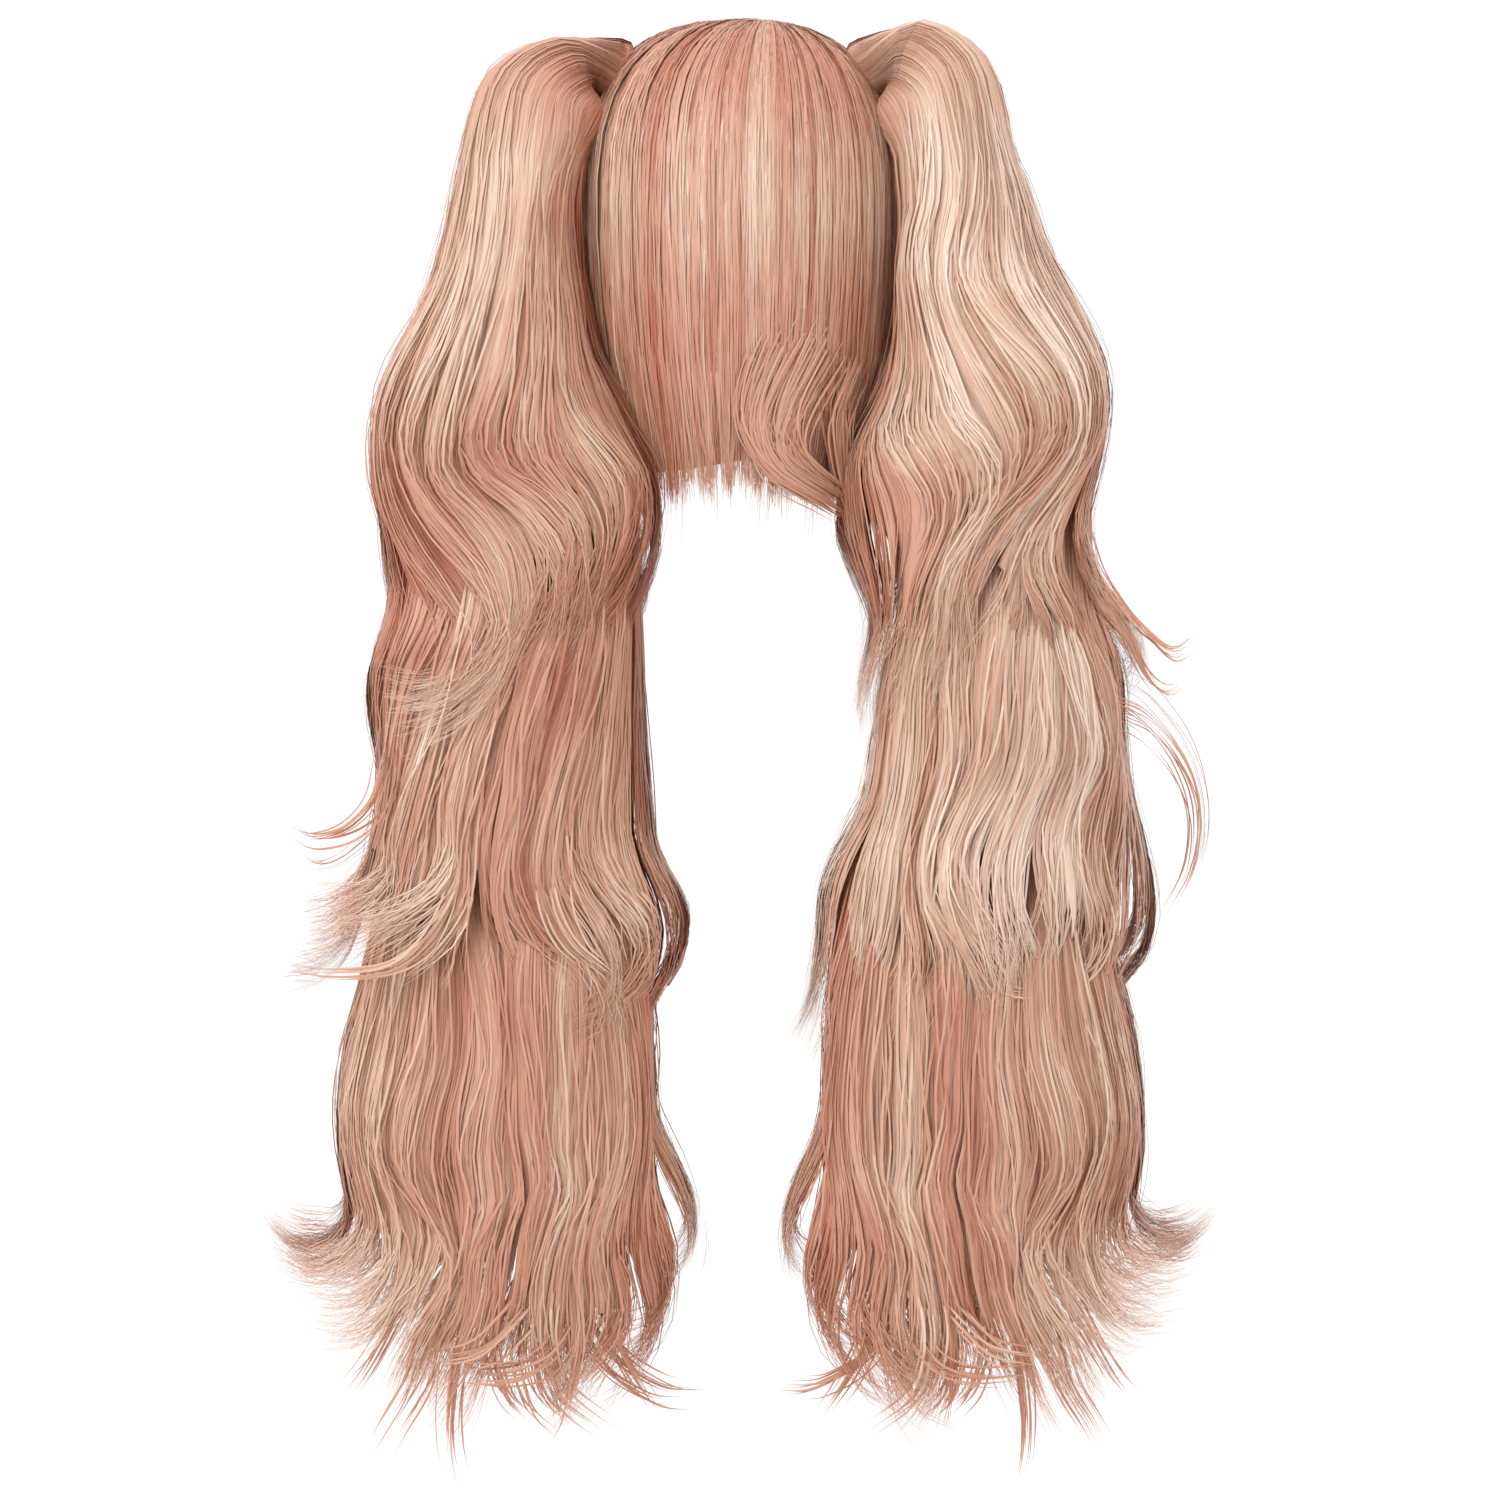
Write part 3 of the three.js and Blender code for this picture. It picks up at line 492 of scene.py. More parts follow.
# Ponytails. Each is synthetic fibre, gathered in its tie. It arches outwards, and falls in three
# layers of wavy locks that hook or flick out at their ends. Broad smooth locks lie below the
# loose fibres and fill each layer.
TIE_RADIUS = 15 * MM
TIE_CORD = 3 * MM
TIE_ANGLE = math.radians(105)  # from the front, round the head
TIE_WAY = 0.54  # along the head from the crown, 1 where it is widest
TAIL_DROP = 745 * MM
TAIL_REACH = 220 * MM
TAIL_HALF_DEPTH = 60 * MM
TAIL_SETBACK = 55 * MM  # how far its middle hangs behind the middle of the head
NECK_HALF_WIDTH = 46 * MM
NECK_HALF_DEPTH = 58 * MM
NECK_DOWN = 345 * MM
TAIL_TOP = 0.08  # where the tables of outlines start, as a share of the drop
COLLAR_HEIGHT = 7 * MM  # of the bound hair that stands up out of the tie
ARCH_DEPTH = 0.008  # how far the middle of the arch lies below its top, as a share of the drop
# Columns: middle, depth. Shares of the setback and half depth, in even steps down the ponytail.
DEPTHS = np.array([
    [0.55, 0.7], [0.66, 0.82], [0.76, 0.92], [0.87, 0.96], [0.95, 0.97], [1.0, 0.97], [1.0, 0.95],
    [1.0, 0.93], [1.0, 0.93], [0.98, 0.96], [0.96, 0.98], [0.93, 1.0], [0.9, 1.0], [0.87, 0.98],
    [0.84, 0.9], [0.82, 0.78],
])
# Columns: inner, outer. Shares of the reach, in the same steps.
LEFT_OUTLINE = np.array([
    [0.37, 0.67], [0.4, 0.74], [0.4, 0.79], [0.33, 0.87], [0.22, 0.9], [0.2, 0.89], [0.23, 0.94],
    [0.24, 0.9], [0.22, 0.93], [0.15, 0.97], [0.17, 0.95], [0.18, 0.97], [0.13, 0.98], [0.05, 1.0],
    [0.12, 1.02], [0.2, 0.94],
])
RIGHT_OUTLINE = np.array([
    [0.37, 0.63], [0.39, 0.72], [0.4, 0.84], [0.33, 0.9], [0.25, 0.89], [0.26, 0.93], [0.31, 0.97],
    [0.3, 0.94], [0.26, 0.97], [0.19, 1.01], [0.17, 0.97], [0.13, 0.96], [0.12, 0.97], [0.04, 0.98],
    [0.11, 1.0], [0.17, 0.92],
])
# The locks of each layer, from the inner edge of the ponytail to its outer edge: the tone, and
# then points down the lock's middle, each as a share of the reach outwards and of the drop down.
LEFT_UPPER = [
    (0.5, [(0.372, 0.08), (0.398, 0.12), (0.395, 0.161), (0.37, 0.201), (0.338, 0.236),
        (0.273, 0.262), (0.22, 0.297), (0.185, 0.327), (0.19, 0.353), (0.223, 0.394),
        (0.275, 0.424), (0.35, 0.449), (0.42, 0.463)]),
    (0.62, [(0.415, 0.08), (0.45, 0.113), (0.453, 0.161), (0.435, 0.208), (0.42, 0.262),
        (0.375, 0.291), (0.305, 0.315), (0.268, 0.338), (0.273, 0.366), (0.312, 0.394),
        (0.362, 0.418), (0.428, 0.437), (0.47, 0.452)]),
    (0.66, [(0.465, 0.08), (0.485, 0.104), (0.497, 0.161), (0.503, 0.217), (0.51, 0.253),
        (0.528, 0.291), (0.528, 0.315), (0.465, 0.338), (0.408, 0.358), (0.383, 0.373),
        (0.388, 0.396), (0.415, 0.423), (0.445, 0.441), (0.493, 0.457)]),
    (0.72, [(0.528, 0.08), (0.535, 0.123), (0.56, 0.18), (0.585, 0.226), (0.608, 0.26),
        (0.637, 0.281), (0.65, 0.305), (0.618, 0.322), (0.528, 0.338), (0.465, 0.355),
        (0.42, 0.375), (0.425, 0.396), (0.445, 0.423), (0.478, 0.445), (0.538, 0.466)]),
    (0.8, [(0.593, 0.08), (0.6, 0.123), (0.618, 0.17), (0.655, 0.217), (0.69, 0.257),
        (0.713, 0.282), (0.728, 0.308), (0.72, 0.332), (0.655, 0.351), (0.605, 0.37),
        (0.568, 0.392), (0.557, 0.418), (0.56, 0.441), (0.593, 0.46), (0.643, 0.477),
        (0.733, 0.496), (0.825, 0.498)]),
    (0.78, [(0.643, 0.08), (0.655, 0.123), (0.688, 0.18), (0.74, 0.226), (0.787, 0.26),
        (0.82, 0.29), (0.823, 0.308), (0.805, 0.328), (0.762, 0.353), (0.708, 0.375),
        (0.655, 0.392), (0.613, 0.413), (0.585, 0.432), (0.595, 0.456), (0.65, 0.479),
        (0.72, 0.494), (0.815, 0.503), (0.885, 0.496)]),
    (0.66, [(0.675, 0.08), (0.695, 0.123), (0.733, 0.18), (0.798, 0.217), (0.855, 0.251),
        (0.885, 0.281), (0.885, 0.328), (0.86, 0.358), (0.815, 0.385), (0.753, 0.407),
        (0.688, 0.432), (0.655, 0.452), (0.685, 0.475), (0.765, 0.492), (0.848, 0.498),
        (0.92, 0.489)]),
    (0.55, [(0.698, 0.08), (0.72, 0.113), (0.74, 0.142), (0.79, 0.195), (0.86, 0.236),
        (0.907, 0.282), (0.913, 0.328), (0.893, 0.358), (0.89, 0.386), (0.87, 0.415), (0.85, 0.445),
        (0.863, 0.474), (0.9, 0.493), (0.935, 0.498)]),
]
RIGHT_UPPER = [
    (0.55, [(0.378, 0.08), (0.395, 0.123), (0.398, 0.161), (0.393, 0.205), (0.355, 0.255),
        (0.29, 0.291), (0.25, 0.315), (0.24, 0.343), (0.258, 0.373), (0.303, 0.4), (0.333, 0.426),
        (0.318, 0.456), (0.295, 0.489), (0.33, 0.517)]),
    (0.66, [(0.422, 0.08), (0.435, 0.123), (0.418, 0.151), (0.41, 0.18), (0.422, 0.216),
        (0.413, 0.257), (0.375, 0.293), (0.398, 0.319), (0.443, 0.343), (0.46, 0.366),
        (0.443, 0.389), (0.418, 0.413), (0.398, 0.441), (0.372, 0.469), (0.353, 0.498),
        (0.33, 0.52)]),
    (0.85, [(0.48, 0.08), (0.473, 0.123), (0.45, 0.151), (0.453, 0.18), (0.48, 0.212),
        (0.513, 0.246), (0.557, 0.285), (0.608, 0.304), (0.635, 0.322), (0.623, 0.341),
        (0.583, 0.36), (0.53, 0.381), (0.5, 0.403), (0.488, 0.432), (0.46, 0.457), (0.435, 0.479),
        (0.39, 0.497)]),
    (0.78, [(0.518, 0.08), (0.53, 0.113), (0.513, 0.142), (0.495, 0.18), (0.508, 0.208),
        (0.543, 0.238), (0.595, 0.271), (0.645, 0.302), (0.655, 0.325), (0.625, 0.349),
        (0.575, 0.37), (0.53, 0.396), (0.508, 0.423), (0.497, 0.452), (0.463, 0.482),
        (0.413, 0.502)]),
    (0.7, [(0.588, 0.08), (0.588, 0.12), (0.57, 0.153), (0.56, 0.176), (0.6, 0.205), (0.67, 0.231),
        (0.75, 0.259), (0.773, 0.287), (0.748, 0.305), (0.688, 0.327), (0.613, 0.349),
        (0.563, 0.375), (0.538, 0.408), (0.525, 0.445), (0.488, 0.482)]),
    (0.85, [(0.633, 0.08), (0.657, 0.12), (0.662, 0.15), (0.68, 0.183), (0.735, 0.214),
        (0.805, 0.244), (0.835, 0.275), (0.825, 0.305), (0.768, 0.336), (0.71, 0.36),
        (0.668, 0.383), (0.625, 0.407), (0.583, 0.432), (0.557, 0.457), (0.538, 0.483),
        (0.495, 0.499)]),
    (0.75, [(0.665, 0.08), (0.71, 0.123), (0.75, 0.166), (0.815, 0.205), (0.875, 0.242),
        (0.895, 0.275), (0.88, 0.301), (0.838, 0.325), (0.78, 0.347), (0.725, 0.371),
        (0.698, 0.392), (0.71, 0.417), (0.755, 0.437), (0.778, 0.46), (0.755, 0.479), (0.698, 0.49),
        (0.608, 0.499), (0.513, 0.5)]),
    (0.6, [(0.685, 0.08), (0.73, 0.116), (0.768, 0.153), (0.83, 0.189), (0.888, 0.226),
        (0.915, 0.26), (0.905, 0.293), (0.885, 0.323), (0.865, 0.349), (0.88, 0.385),
        (0.915, 0.408), (0.975, 0.426), (1.02, 0.445), (1.015, 0.463), (0.97, 0.47),
        (0.913, 0.468)]),
]
LEFT_MIDDLE = [
    (0.45, [(0.255, 0.319), (0.255, 0.415), (0.248, 0.482), (0.24, 0.53), (0.225, 0.574),
        (0.21, 0.604), (0.163, 0.629), (0.133, 0.655), (0.15, 0.685), (0.195, 0.707), (0.25, 0.731),
        (0.338, 0.759), (0.445, 0.787)]),
    (0.62, [(0.295, 0.319), (0.295, 0.415), (0.315, 0.474), (0.335, 0.529), (0.358, 0.57),
        (0.355, 0.601), (0.318, 0.622), (0.25, 0.643), (0.21, 0.664), (0.238, 0.68), (0.293, 0.695),
        (0.378, 0.705), (0.455, 0.709)]),
    (0.58, [(0.35, 0.319), (0.35, 0.415), (0.375, 0.474), (0.413, 0.519), (0.455, 0.56),
        (0.483, 0.601), (0.475, 0.626), (0.44, 0.647), (0.39, 0.668), (0.325, 0.686), (0.28, 0.711),
        (0.305, 0.74)]),
    (0.5, [(0.45, 0.319), (0.45, 0.415), (0.5, 0.467), (0.543, 0.519), (0.555, 0.56), (0.58, 0.6),
        (0.588, 0.629), (0.553, 0.66), (0.488, 0.683), (0.413, 0.703), (0.4, 0.733)]),
    (0.62, [(0.55, 0.319), (0.55, 0.415), (0.608, 0.482), (0.67, 0.53), (0.705, 0.573),
        (0.7, 0.606), (0.723, 0.626), (0.77, 0.641), (0.855, 0.654), (0.94, 0.662),
        (1.02, 0.664)]),
    (0.58, [(0.65, 0.319), (0.65, 0.415), (0.72, 0.482), (0.77, 0.53), (0.815, 0.572),
        (0.84, 0.604), (0.84, 0.626), (0.87, 0.643), (0.953, 0.657), (1.03, 0.662)]),
    (0.48, [(0.75, 0.319), (0.75, 0.415), (0.82, 0.467), (0.86, 0.519), (0.875, 0.556),
        (0.9, 0.591), (0.935, 0.613), (1, 0.628), (1.07, 0.637), (1.11, 0.632)]),
    (0.42, [(0.87, 0.319), (0.87, 0.415), (0.915, 0.467), (0.918, 0.5), (0.893, 0.541),
        (0.905, 0.585), (0.935, 0.629), (0.98, 0.66), (1.035, 0.678), (1.088, 0.683),
        (1.135, 0.679)]),
]
RIGHT_MIDDLE = [
    (0.5, [(0.413, 0.319), (0.413, 0.415), (0.362, 0.474), (0.34, 0.526), (0.32, 0.559),
        (0.275, 0.587), (0.225, 0.613), (0.198, 0.643), (0.195, 0.67), (0.178, 0.707),
        (0.145, 0.739), (0.09, 0.75)]),
    (0.58, [(0.463, 0.319), (0.463, 0.415), (0.43, 0.474), (0.42, 0.522), (0.405, 0.563),
        (0.375, 0.6), (0.365, 0.629), (0.34, 0.666), (0.295, 0.7), (0.25, 0.727), (0.215, 0.759)]),
    (0.5, [(0.538, 0.319), (0.538, 0.415), (0.52, 0.474), (0.515, 0.53), (0.485, 0.57),
        (0.465, 0.607), (0.468, 0.64), (0.5, 0.663), (0.53, 0.687), (0.525, 0.718),
        (0.495, 0.748)]),
    (0.58, [(0.65, 0.319), (0.65, 0.415), (0.625, 0.474), (0.613, 0.53), (0.555, 0.567),
        (0.508, 0.6), (0.503, 0.629), (0.53, 0.652), (0.57, 0.677), (0.61, 0.703),
        (0.625, 0.733)]),
    (0.62, [(0.725, 0.319), (0.725, 0.415), (0.72, 0.474), (0.705, 0.53), (0.657, 0.57),
        (0.613, 0.607), (0.61, 0.637), (0.635, 0.663), (0.665, 0.685), (0.68, 0.711)]),
    (0.72, [(0.787, 0.319), (0.787, 0.415), (0.838, 0.474), (0.875, 0.526), (0.835, 0.561),
        (0.81, 0.59), (0.82, 0.618), (0.825, 0.652), (0.8, 0.683), (0.775, 0.711)]),
    (0.42, [(0.838, 0.319), (0.838, 0.415), (0.895, 0.474), (0.92, 0.53), (0.905, 0.57),
        (0.885, 0.6), (0.9, 0.629), (0.93, 0.655), (0.913, 0.68), (0.838, 0.696), (0.738, 0.694)]),
    (0.5, [(0.88, 0.319), (0.88, 0.408), (0.945, 0.467), (0.95, 0.515), (0.97, 0.556),
        (1.005, 0.596), (1.03, 0.637), (1.013, 0.669), (0.94, 0.69), (0.838, 0.7), (0.725, 0.697),
        (0.615, 0.687)]),
]
LONG_LAYER = [
    (0.45, [(0.36, 0.53), (0.27, 0.62), (0.23, 0.7), (0.228, 0.755), (0.213, 0.796),
        (0.155, 0.834), (0.113, 0.866), (0.115, 0.889), (0.15, 0.904), (0.2, 0.911)]),
    (0.5, [(0.39, 0.53), (0.31, 0.62), (0.255, 0.7), (0.23, 0.766), (0.225, 0.812),
        (0.238, 0.857), (0.233, 0.902), (0.205, 0.936), (0.223, 0.963), (0.295, 0.988),
        (0.405, 0.999)]),
    (0.58, [(0.42, 0.54), (0.36, 0.62), (0.32, 0.7), (0.293, 0.778), (0.3, 0.823),
        (0.333, 0.857), (0.365, 0.891), (0.343, 0.925), (0.35, 0.95), (0.4, 0.978),
        (0.465, 0.997), (0.55, 1.005)]),
    (0.68, [(0.413, 0.556), (0.413, 0.637), (0.42, 0.711), (0.422, 0.778), (0.43, 0.823),
        (0.408, 0.852), (0.438, 0.881), (0.463, 0.913), (0.478, 0.947), (0.463, 0.981),
        (0.418, 1.007), (0.335, 1.027)]),
    (0.52, [(0.525, 0.556), (0.525, 0.637), (0.53, 0.711), (0.52, 0.755), (0.51, 0.8),
        (0.485, 0.834), (0.51, 0.868), (0.53, 0.902), (0.555, 0.936), (0.59, 0.968),
        (0.635, 0.999)]),
    (0.58, [(0.662, 0.556), (0.662, 0.637), (0.62, 0.711), (0.608, 0.755), (0.63, 0.796),
        (0.64, 0.829), (0.628, 0.857), (0.668, 0.891), (0.682, 0.931), (0.74, 0.97), (0.79, 0.999),
        (0.85, 1.024)]),
    (0.6, [(0.75, 0.556), (0.75, 0.637), (0.75, 0.696), (0.77, 0.748), (0.813, 0.792),
        (0.82, 0.832), (0.76, 0.861), (0.703, 0.881), (0.713, 0.901), (0.758, 0.925), (0.82, 0.95),
        (0.86, 0.981), (0.89, 1.006)]),
    (0.66, [(0.813, 0.556), (0.813, 0.637), (0.83, 0.696), (0.863, 0.748), (0.895, 0.792),
        (0.89, 0.823), (0.853, 0.85), (0.828, 0.881), (0.85, 0.913), (0.905, 0.935), (0.985, 0.947),
        (1.08, 0.937)]),
    (0.6, [(0.863, 0.556), (0.863, 0.637), (0.9, 0.696), (0.938, 0.748), (0.963, 0.792),
        (0.95, 0.832), (0.92, 0.867), (0.928, 0.891), (0.985, 0.908), (1.063, 0.914),
        (1.15, 0.902)]),
    (0.5, [(0.905, 0.556), (0.905, 0.637), (0.945, 0.696), (0.98, 0.736), (1, 0.784), (1, 0.829),
        (0.983, 0.858), (1.005, 0.877), (1.075, 0.89), (1.148, 0.882), (1.205, 0.86)]),
]
# Loose wisps, written in the same way: those that curl under and hang lowest at both ponytails'
# ends, and those that cross each ponytail or loop out past its edge.
END_WISPS = [
    (0.5, [(0.16, 0.84), (0.12, 0.87), (0.115, 0.895), (0.135, 0.92)]),
    (0.5, [(0.42, 0.93), (0.36, 0.962), (0.29, 0.985), (0.2, 0.999), (0.12, 1.0)]),
    (0.45, [(0.33, 0.92), (0.3, 0.96), (0.25, 0.99), (0.2, 1.012)]),
    (0.75, [(0.43, 0.89), (0.475, 0.93), (0.48, 0.965), (0.44, 1.0), (0.33, 1.026)]),
    (0.5, [(0.396, 0.94), (0.475, 0.972), (0.571, 0.982), (0.714, 0.98)]),
    (0.6, [(0.475, 0.917), (0.56, 0.945), (0.634, 0.964), (0.745, 0.971)]),
    (0.45, [(0.52, 0.93), (0.53, 0.965), (0.5, 1.0), (0.44, 1.018)]),
    (0.5, [(0.6, 0.93), (0.6, 0.965), (0.57, 0.995), (0.52, 1.012)]),
    (0.5, [(0.68, 0.93), (0.7, 0.97), (0.715, 1.01), (0.712, 1.04), (0.7, 1.058)]),
    (0.5, [(0.72, 0.92), (0.77, 0.96), (0.8, 0.99), (0.86, 1.02), (0.89, 1.036)]),
    (0.5, [(0.8, 0.92), (0.86, 0.955), (0.92, 0.985), (0.96, 1.0)]),
    (0.6, [(0.9, 0.8), (0.93, 0.84), (0.985, 0.868), (1.07, 0.88), (1.15, 0.872), (1.215, 0.852)]),
]
LEFT_WISPS = [
    (0.7, [(0.25, 0.6), (0.21, 0.647), (0.23, 0.674), (0.285, 0.694), (0.368, 0.706), (0.423, 0.708)]),
    (0.75, [(0.485, 0.596), (0.458, 0.639), (0.408, 0.666), (0.34, 0.682), (0.285, 0.694)]),
    (0.7, [(0.7, 0.58), (0.69, 0.62), (0.75, 0.66), (0.85, 0.685), (1.0, 0.69), (1.1, 0.686)]),
    (0.45, [(0.86, 0.5), (0.88, 0.541), (0.907, 0.564), (0.97, 0.581), (1.05, 0.587), (1.103, 0.579)]),
    (0.4, [(0.84, 0.51), (0.87, 0.552), (0.92, 0.58), (0.99, 0.602), (1.06, 0.611), (1.12, 0.598)]),
]
RIGHT_WISPS = [
    (0.6, [(0.325, 0.585), (0.25, 0.637), (0.188, 0.703), (0.125, 0.748)]),
    (0.75, [(0.85, 0.6), (0.9, 0.65), (0.85, 0.69), (0.72, 0.705), (0.58, 0.697)]),
    (0.5, [(0.93, 0.49), (1.0, 0.5), (1.08, 0.53), (1.125, 0.565), (1.12, 0.605), (1.07, 0.64)]),
    (0.5, [(0.85, 0.36), (0.88, 0.395), (0.94, 0.422), (1.01, 0.443), (1.06, 0.452), (1.105, 0.444)]),
    (0.5, [(0.86, 0.38), (0.895, 0.415), (0.95, 0.44), (1.0, 0.47), (1.05, 0.482), (1.09, 0.475)]),
    (0.45, [(0.95, 0.475), (1.025, 0.489), (1.113, 0.523), (1.158, 0.563), (1.158, 0.6), (1.113, 0.63)]),
]
# The side of each ponytail, its outline, how much higher its arch is set as a share of the drop,
# and its tables of locks and wisps.
TAILS = {
    "left": (-1, LEFT_OUTLINE, 0.0, LEFT_UPPER, LEFT_MIDDLE, LEFT_WISPS),
    "right": (1, RIGHT_OUTLINE, 0.013, RIGHT_UPPER, RIGHT_MIDDLE, RIGHT_WISPS),
}
# How much paler, or darker where it is below 0, each layer is than its table says.
PALER = {"left": (-0.2, -0.01, 0.0), "right": (-0.11, 0.19, 0.0)}
GLEAM = 0.45  # how much paler a fibre is where a wave turns it up to the light
LONG_WIDTHS = (0.6, 1.6)  # of a ribbon of fibre, in millimetres
LOCK_ENDS = (0.76, 0.88)  # where the smooth locks end, as shares of their lines
STATIONS = 28  # points down each lock's middle
STEPS = 24  # points down each ribbon
ROOTED_STEPS = 34  # points down one that starts in the tie, with ROOT_STEPS of them on its arch
ROOT_STEPS = 12
BODY_SIDES = 28
LOCK_FACE = 7  # points across a lock's outer face
CLUMPS_PER_LOCK = 4
WISPS_PER_CLUMP = 5
WAVE_DEPTH = 8 * MM  # how far a wave swings towards the back and the front
ROUND_EDGE = 0.35  # share of the depth over which the ponytail's sides are rounded
RAISED = np.array([0.25, 1, 1])  # a lock's height adds little to the width of the outline


def unit(vectors):
    """The same directions with a length of 1."""
    return vectors / (np.linalg.norm(vectors, axis=-1, keepdims=True) + 1e-12)


def on_hair(angle, way):
    """A point on the outside of the short hair."""
    return head_point(np.array(angle), np.array(way), HAIR_OUTSIDE)


def tie_seat(side):
    """Where a tie sits on the hair, with its axis, and the two ways across its ring."""
    seat = on_hair(TIE_ANGLE * side, TIE_WAY)
    down = on_hair(TIE_ANGLE * side, TIE_WAY + 0.02) - seat
    round_head = on_hair(TIE_ANGLE * side + 0.02, TIE_WAY) - seat
    axis = unit(np.cross(down, round_head))
    axis = axis * math.copysign(1, axis[2])
    across_ring = unit(np.array([-side * axis[2], 0, side * axis[0]]))
    return seat, axis, across_ring, np.cross(axis, across_ring)


def middles(table):
    """The locks' middle lines at even steps of their length, and their tones."""
    lines = []
    for _, points in table:
        points = np.array(points)[None] * [TAIL_REACH, TAIL_DROP]
        fine = spline(points, np.linspace(0, points.shape[1] - 1, 400)[None])[0]
        gone = np.concatenate([[0], np.cumsum(np.linalg.norm(np.diff(fine, axis=0), axis=1))])
        even = np.linspace(0, gone[-1], STATIONS)
        lines.append(np.stack([np.interp(even, gone, fine[:, i]) for i in range(2)], -1))
    return np.array(lines), np.array([tone for tone, _ in table])


def keep_off_head(points, room):
    """Moves points out of the head, its short hair and the neck, sideways and back or forward."""
    down = -points[..., 2]
    way = way_to(np.clip(down, 0, NAPE_LENGTH))
    spread = dome_spread(way)
    below = np.maximum(way - 1, 0)
    neck = np.clip((down - NAPE_LENGTH) / (NECK_DOWN - NAPE_LENGTH), 0, 1)
    side = mix(spread * (HEAD_HALF_WIDTH * along(NECKLINE, 0, below) + room), NECK_HALF_WIDTH, neck)
    back = mix(spread * (HEAD_BACK * along(NECKLINE, 1, below) + room), NECK_HALF_DEPTH, neck)
    front = mix(spread * (HEAD_FRONT * along(NECKLINE, 2, below) + room), NECK_HALF_DEPTH, neck)
    depth = np.where(points[..., 1] > 0, front, back)
    reach = np.hypot(points[..., 0] / side, points[..., 1] / depth)
    inside = (reach < 1) & (down > 0.005) & (down < NECK_DOWN)
    push = np.where(inside, 1 / np.maximum(reach, 0.2), 1)
    moved = points.copy()
    moved[..., 0] *= push
    moved[..., 1] *= push
    return moved


def hang(side, outline, peak, lines, turn, rooted, depth, ends, spread=1.0, over_tie=False):
    """Lines of hair in a layer, each with its turn round the ponytail at every station: 0 is the
    back and 90 degrees the outer edge. They start in the tie, or lie over it. Gives the points,
    the way out of the hair, and the share."""
    depth = np.broadcast_to(depth, STATIONS)
    place = (0.5 + 0.5 * np.sin(turn)) * (len(lines) - 1)
    low = np.clip(np.floor(place).astype(int), 0, len(lines) - 2)
    station = np.arange(STATIONS)[None, :]
    path = mix(lines[low, station], lines[low + 1, station], (place - low)[..., None])
    middle = (lines[0, :, 0] + lines[-1, :, 0]) / 2
    path[..., 0] = mix(middle, path[..., 0], spread)
    down = path[..., 1] / TAIL_DROP
    level = (down - TAIL_TOP) / (1 - TAIL_TOP)
    inner = along(outline, 0, level) * TAIL_REACH
    outer = along(outline, 1, level) * TAIL_REACH
    across = np.clip((path[..., 0] - inner) / (outer - inner) * 2 - 1, -0.97, 0.97)
    facing = np.cos(turn)
    near = np.clip(facing / ROUND_EDGE, -1, 1) * np.maximum(np.abs(facing), np.sqrt(1 - across**2))
    pace = np.gradient(path, axis=1)
    swing = pace[..., 0] / (np.linalg.norm(pace, axis=-1) + 1e-9) * WAVE_DEPTH
    step = np.linspace(0, 1, STATIONS)
    emerge = 1 if rooted else mix(0.5, 1, smooth(step * 2.7))
    half = along(DEPTHS, 1, level) * TAIL_HALF_DEPTH * depth * emerge + swing
    points = np.stack([
        side * path[..., 0],
        -along(DEPTHS, 0, level) * TAIL_SETBACK - half * near,
        -path[..., 1],
    ], -1)
    outward = unit(np.stack([side * across, -near, 0 * near], -1))
    roots = 0
    if rooted:
        seat, axis, across_ring, along_ring = tie_seat(side)
        within = (TIE_RADIUS - TIE_CORD) * 0.93
        first = points[:, 0]
        inside = 0.5 + 0.5 * np.sin(turn[:, :1])
        ring = across_ring * (inside * 2 - 1) + along_ring * side * near[:, :1]
        if over_tie:
            start = seat - axis * 3 * MM + ring * (TIE_RADIUS + TIE_CORD)
            collar = seat + axis * COLLAR_HEIGHT + ring * (TIE_RADIUS + TIE_CORD + 1 * MM)
        else:
            start = seat + ring * within
            collar = seat + axis * COLLAR_HEIGHT + ring * within * 1.45
        # The crest is the top of the arch, and the shoulder is where the hair starts to fall.
        crest = mix(collar, first, mix(0.3, 0.46, inside))
        high = (peak - ARCH_DEPTH) * TAIL_DROP + 6 * MM * depth[0]
        crest[:, 2] = mix(mix(collar[:, 2], first[:, 2], 0.3), high, smooth(inside[:, 0] * 1.3))
        shoulder = np.stack([
            mix(crest[:, 0], first[:, 0], 0.74),
            mix(crest[:, 1], first[:, 1], 0.6),
            mix(crest[:, 2], first[:, 2], 0.32),
        ], -1)
        to_head = side * 12 * MM * (1 - smooth(inside[:, 0] * 4))
        crest[:, 0] -= to_head
        shoulder[:, 0] -= to_head
        points = np.concatenate([np.stack([start, collar, crest, shoulder], 1), points], 1)
        upward = 0.9 + 0 * near[:, 0]
        over = unit(np.stack([side * (inside[:, 0] * 1.6 - 0.9), -near[:, 0] * 0.9, upward], -1))
        halfway = unit(over + outward[:, 0])
        outward = np.concatenate([np.stack([over, over, over, halfway], 1), outward], 1)
        roots = 4
    count = points.shape[1] - 1
    step = np.linspace(0, 1, ROOTED_STEPS if roots else STEPS)[None, :]
    root_share = ROOT_STEPS / ROOTED_STEPS if roots else 0.0
    hanging = (step - root_share) / (1 - root_share)
    at = roots + hanging * (count * ends[:, None] - roots)
    if roots:
        at = np.where(step < root_share, (step / root_share) ** 0.8 * roots, at)
    return spline(points, at), unit(spline(outward, at)), at / count


long_fibre = fibre_material("long_fibre", streaks=0.3)


